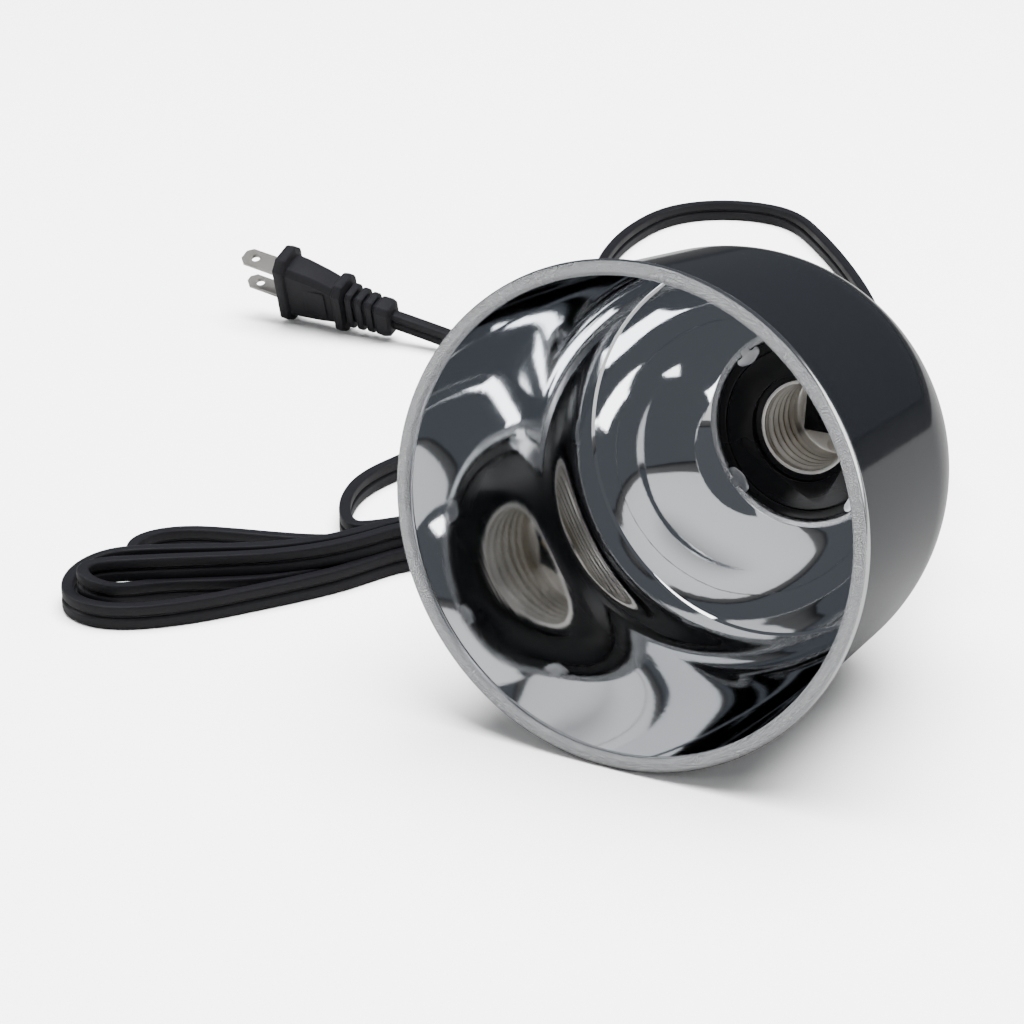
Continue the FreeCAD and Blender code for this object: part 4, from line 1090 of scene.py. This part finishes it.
def smooth_line(points, step):
    """Points at even distances along a NURBS curve through the route."""
    curve = bpy.data.curves.new("route", "CURVE")
    curve.dimensions = "3D"
    curve.resolution_u = 16
    spline = curve.splines.new("NURBS")
    spline.points.add(len(points) - 1)
    for point, place in zip(spline.points, points):
        point.co = (*place, 1.0)
    spline.order_u = 3
    spline.use_endpoint_u = True
    guide = bpy.data.objects.new("route", curve)
    bpy.context.scene.collection.objects.link(guide)
    view = bpy.context.evaluated_depsgraph_get()
    mesh = bpy.data.meshes.new_from_object(guide.evaluated_get(view))
    raw = [vertex.co.copy() for vertex in mesh.vertices]
    bpy.data.objects.remove(guide)
    bpy.data.curves.remove(curve)
    bpy.data.meshes.remove(mesh)
    even = [raw[0]]
    carried = 0.0
    for first, last in zip(raw, raw[1:]):
        span = (last - first).length
        while carried + span >= step:
            first = first + (last - first) * ((step - carried) / span)
            even.append(first.copy())
            span = (last - first).length
            carried = 0.0
        carried += span
    return even


def cord_section(width, thickness):
    """Half-round lobes on each side of a sharp groove, as (wide, thin) points."""
    half, thin = width / 2, thickness / 2
    quarter = filleted([(0.12, thin * 0.52), (0.75, thin * 0.97, 0.7), (half * 0.5, thin),
                        (half, thin, 1.5), (half, 0.0)], 4)[:-1] + [(half, 0.0)]
    right = quarter + [(x, -y) for x, y in reversed(quarter[:-1])]
    return right + [(-x, y) for x, y in reversed(right)]


class HEATLAMP_OT_cord(bpy.types.Operator):
    """Lay the flat cord from the strain relief through its hank to the plug"""
    bl_idname = "heatlamp.cord"
    bl_label = "Cord"

    def execute(self, context):
        settings = context.scene.heat_lamp_cord
        size = Millimetres(settings)
        exit_point, route = cord_route()
        line = smooth_line(route, CORD_STEP)
        section = cord_section(size.cord_width, size.cord_thickness)
        count = len(section)
        twist_start = len(line) - TWIST_SECTIONS
        vertices = []
        for number, place in enumerate(line):
            ahead = line[min(number + 1, len(line) - 1)] - line[max(number - 1, 0)]
            ahead.normalize()
            wide = Vector((0, 0, 1))
            if number > twist_start:
                turn = min(1.0, (number - twist_start) / TURNING_SECTIONS)
                turn = turn * turn * (3 - 2 * turn)
                wide = wide * (1 - turn) + PLUG_LONG * turn
            wide = (wide - ahead * wide.dot(ahead)).normalized()
            thin = ahead.cross(wide)
            vertices += [place + (wide * a + thin * b) * MM for a, b in section]
        faces = [tuple(range(count)), tuple(range(len(vertices) - count, len(vertices)))]
        uv = [(0.0, 0.0)] * (2 * count)
        for number in range(len(line) - 1):
            base = number * count
            low, high = number * CORD_STEP, (number + 1) * CORD_STEP
            for k in range(count):
                after = (k + 1) % count
                faces.append((base + k, base + after, base + count + after, base + count + k))
                left, right = k / count, (k + 1) / count
                uv += [(left, low), (right, low), (right, high), (left, high)]
        made = piece("flat_cord", vertices, faces, Matrix.Identity(4), [paint("vinyl")],
                     sharp=50, uv=uv)
        declared(made, "lamp", "cord_jacket", "cord_run_to_hank", "cord_hank",
                 "cord_run_to_plug")
        tuple(exit_point)
        settings.real_length
        settings.cord_width
        [tuple(place) for place in line]
        return {"FINISHED"}


# ---------------------------------------------------------------- stage


def softbox(name, place, target, width, height, brightness, mirrored):
    """A rectangular light of even brightness, seen in reflections or not."""
    light = bpy.data.lights.new(name, "AREA")
    light.shape = "RECTANGLE"
    light.size = width
    light.size_y = height
    light.energy = brightness * math.pi * width * height
    made = bpy.data.objects.new(name, light)
    bpy.context.scene.collection.objects.link(made)
    made.location = place
    made.rotation_mode = "QUATERNION"
    made.rotation_quaternion = (Vector(target) - Vector(place)).to_track_quat("-Z", "Y")
    made.visible_glossy = mirrored
    return made


def floor_paint(settings):
    """Pale where it is seen itself. Reflections find it painted dark, a painted shade that stands
    in for a dark room, most past a set distance from the middle.
    """
    made = bpy.data.materials.new("Pale floor")
    made.use_nodes = True
    tree = made.node_tree
    shader = tree.nodes["Principled BSDF"]
    shader.inputs["Roughness"].default_value = 0.9
    shader.inputs["Specular IOR Level"].default_value = 0.2
    place = tree.nodes.new("ShaderNodeTexCoord").outputs["Object"]
    distance = tree.nodes.new("ShaderNodeVectorMath")
    distance.operation = "LENGTH"
    tree.links.new(place, distance.inputs[0])
    far = spread(tree, distance.outputs["Value"], settings.painted_dark_reflection_start,
                 settings.painted_dark_reflection_start * 1.25)
    # Painted shade: glossy rays see the floor darkened, by the reflected_dark share near the set
    # and fully past the start distance.
    dark = calculate(tree, "MAXIMUM", far, settings.reflected_dark)
    ray = tree.nodes.new("ShaderNodeLightPath")
    factor = calculate(tree, "MULTIPLY", dark, ray.outputs["Is Glossy Ray"])
    pale = tuple(settings.floor_colour)
    tree.links.new(blended(tree, factor, pale, dimmed(pale, 0.02)),
                   shader.inputs["Base Color"])
    return made


# Name, place, target, width, height, brightness, and whether reflections show it.
LIGHTS = [
    ("ceiling_light", (0.1, 0.3, 2.4), (0, 0.1, 0), 2.6, 2.2, 27, False),
    ("top_softbox", (-0.5, -0.3, 1.7), (0, 0, 0.05), 1.1, 0.7, 4.5, True),
    ("left_softbox", (-1.7, -0.5, 0.9), (0, 0, 0.05), 0.7, 1.0, 4.5, True),
    ("right_softbox", (1.6, 0.9, 0.8), (0, 0, 0.05), 1.6, 1.3, 2.6, True),
    ("front_softbox", (-0.2, -1.9, 1.3), (0, 0, 0.05), 0.7, 0.5, 6.0, True)]
CAMERA_PLACE = (0.3656, -0.8064, 0.4097)
# Degrees below the horizon and round from the back.
CAMERA_DIP, CAMERA_TURN = 22.75, 29.09


class HEATLAMP_OT_stage(bpy.types.Operator):
    """Set the pale floor, the softboxes and the camera"""
    bl_idname = "heatlamp.stage"
    bl_label = "Floor, lights and camera"

    def execute(self, context):
        settings = context.scene.heat_lamp_stage
        reach = settings.floor_size / 2
        mesh = bpy.data.meshes.new("floor")
        mesh.from_pydata([(-reach, -reach, 0), (reach, -reach, 0), (reach, reach, 0),
                          (-reach, reach, 0)], [], [(0, 1, 2, 3)])
        mesh.materials.append(floor_paint(settings))
        floor = bpy.data.objects.new("floor", mesh)
        context.scene.collection.objects.link(floor)

        world = bpy.data.worlds.new("room")
        world.use_nodes = True
        sky = world.node_tree.nodes["Background"]
        sky.inputs["Color"].default_value = (0.82, 0.89, 1.0, 1.0)
        sky.inputs["Strength"].default_value = settings.room
        context.scene.world = world

        for row in LIGHTS:
            softbox(*row)

        camera = bpy.data.cameras.new("camera")
        camera.lens = settings.lens
        camera.sensor_width = 36.0
        view = bpy.data.objects.new("camera", camera)
        view.location = CAMERA_PLACE
        view.rotation_euler = (math.radians(90 - CAMERA_DIP), 0.0, math.radians(CAMERA_TURN))
        context.scene.collection.objects.link(view)
        context.scene.camera = view
        return {"FINISHED"}


# ---------------------------------------------------------------- panel and main

OPERATORS = (HEATLAMP_OT_shade, HEATLAMP_OT_ears, HEATLAMP_OT_lampholder,
             HEATLAMP_OT_screw_shell, HEATLAMP_OT_contacts, HEATLAMP_OT_rear_cap,
             HEATLAMP_OT_strain_relief, HEATLAMP_OT_plug, HEATLAMP_OT_cord,
             HEATLAMP_OT_stage)
SETTINGS = {"heat_lamp_shade": HeatLampShade, "heat_lamp_holder": HeatLampHolder,
            "heat_lamp_cord": HeatLampCord, "heat_lamp_stage": HeatLampStage}


class HEATLAMP_PT_parts(bpy.types.Panel):
    """The parts of the lamp and their settings"""
    bl_label = "Heat Lamp"
    bl_idname = "HEATLAMP_PT_parts"
    bl_space_type = "VIEW_3D"
    bl_region_type = "UI"
    bl_category = "Heat Lamp"

    def draw(self, context):
        for operator in OPERATORS:
            self.layout.operator(operator.bl_idname)
        for name, group in SETTINGS.items():
            box = self.layout.box()
            for label in group.__annotations__:
                box.prop(getattr(context.scene, name), label)


def register():
    for group in SETTINGS.values():
        bpy.utils.register_class(group)
    for name, group in SETTINGS.items():
        setattr(bpy.types.Scene, name, PointerProperty(type=group))
    for operator in OPERATORS:
        bpy.utils.register_class(operator)
    bpy.utils.register_class(HEATLAMP_PT_parts)


def unregister():
    bpy.utils.unregister_class(HEATLAMP_PT_parts)
    for operator in reversed(OPERATORS):
        bpy.utils.unregister_class(operator)
    for name, group in SETTINGS.items():
        delattr(bpy.types.Scene, name)
        bpy.utils.unregister_class(group)


def main():
    register()
    bpy.ops.heatlamp.shade()
    bpy.ops.heatlamp.ears()
    bpy.ops.heatlamp.lampholder()
    bpy.ops.heatlamp.screw_shell()
    bpy.ops.heatlamp.contacts()
    bpy.ops.heatlamp.rear_cap()
    bpy.ops.heatlamp.strain_relief()
    bpy.ops.heatlamp.plug()
    bpy.ops.heatlamp.cord()
    bpy.ops.heatlamp.stage()


if __name__ == "__main__":
    main()
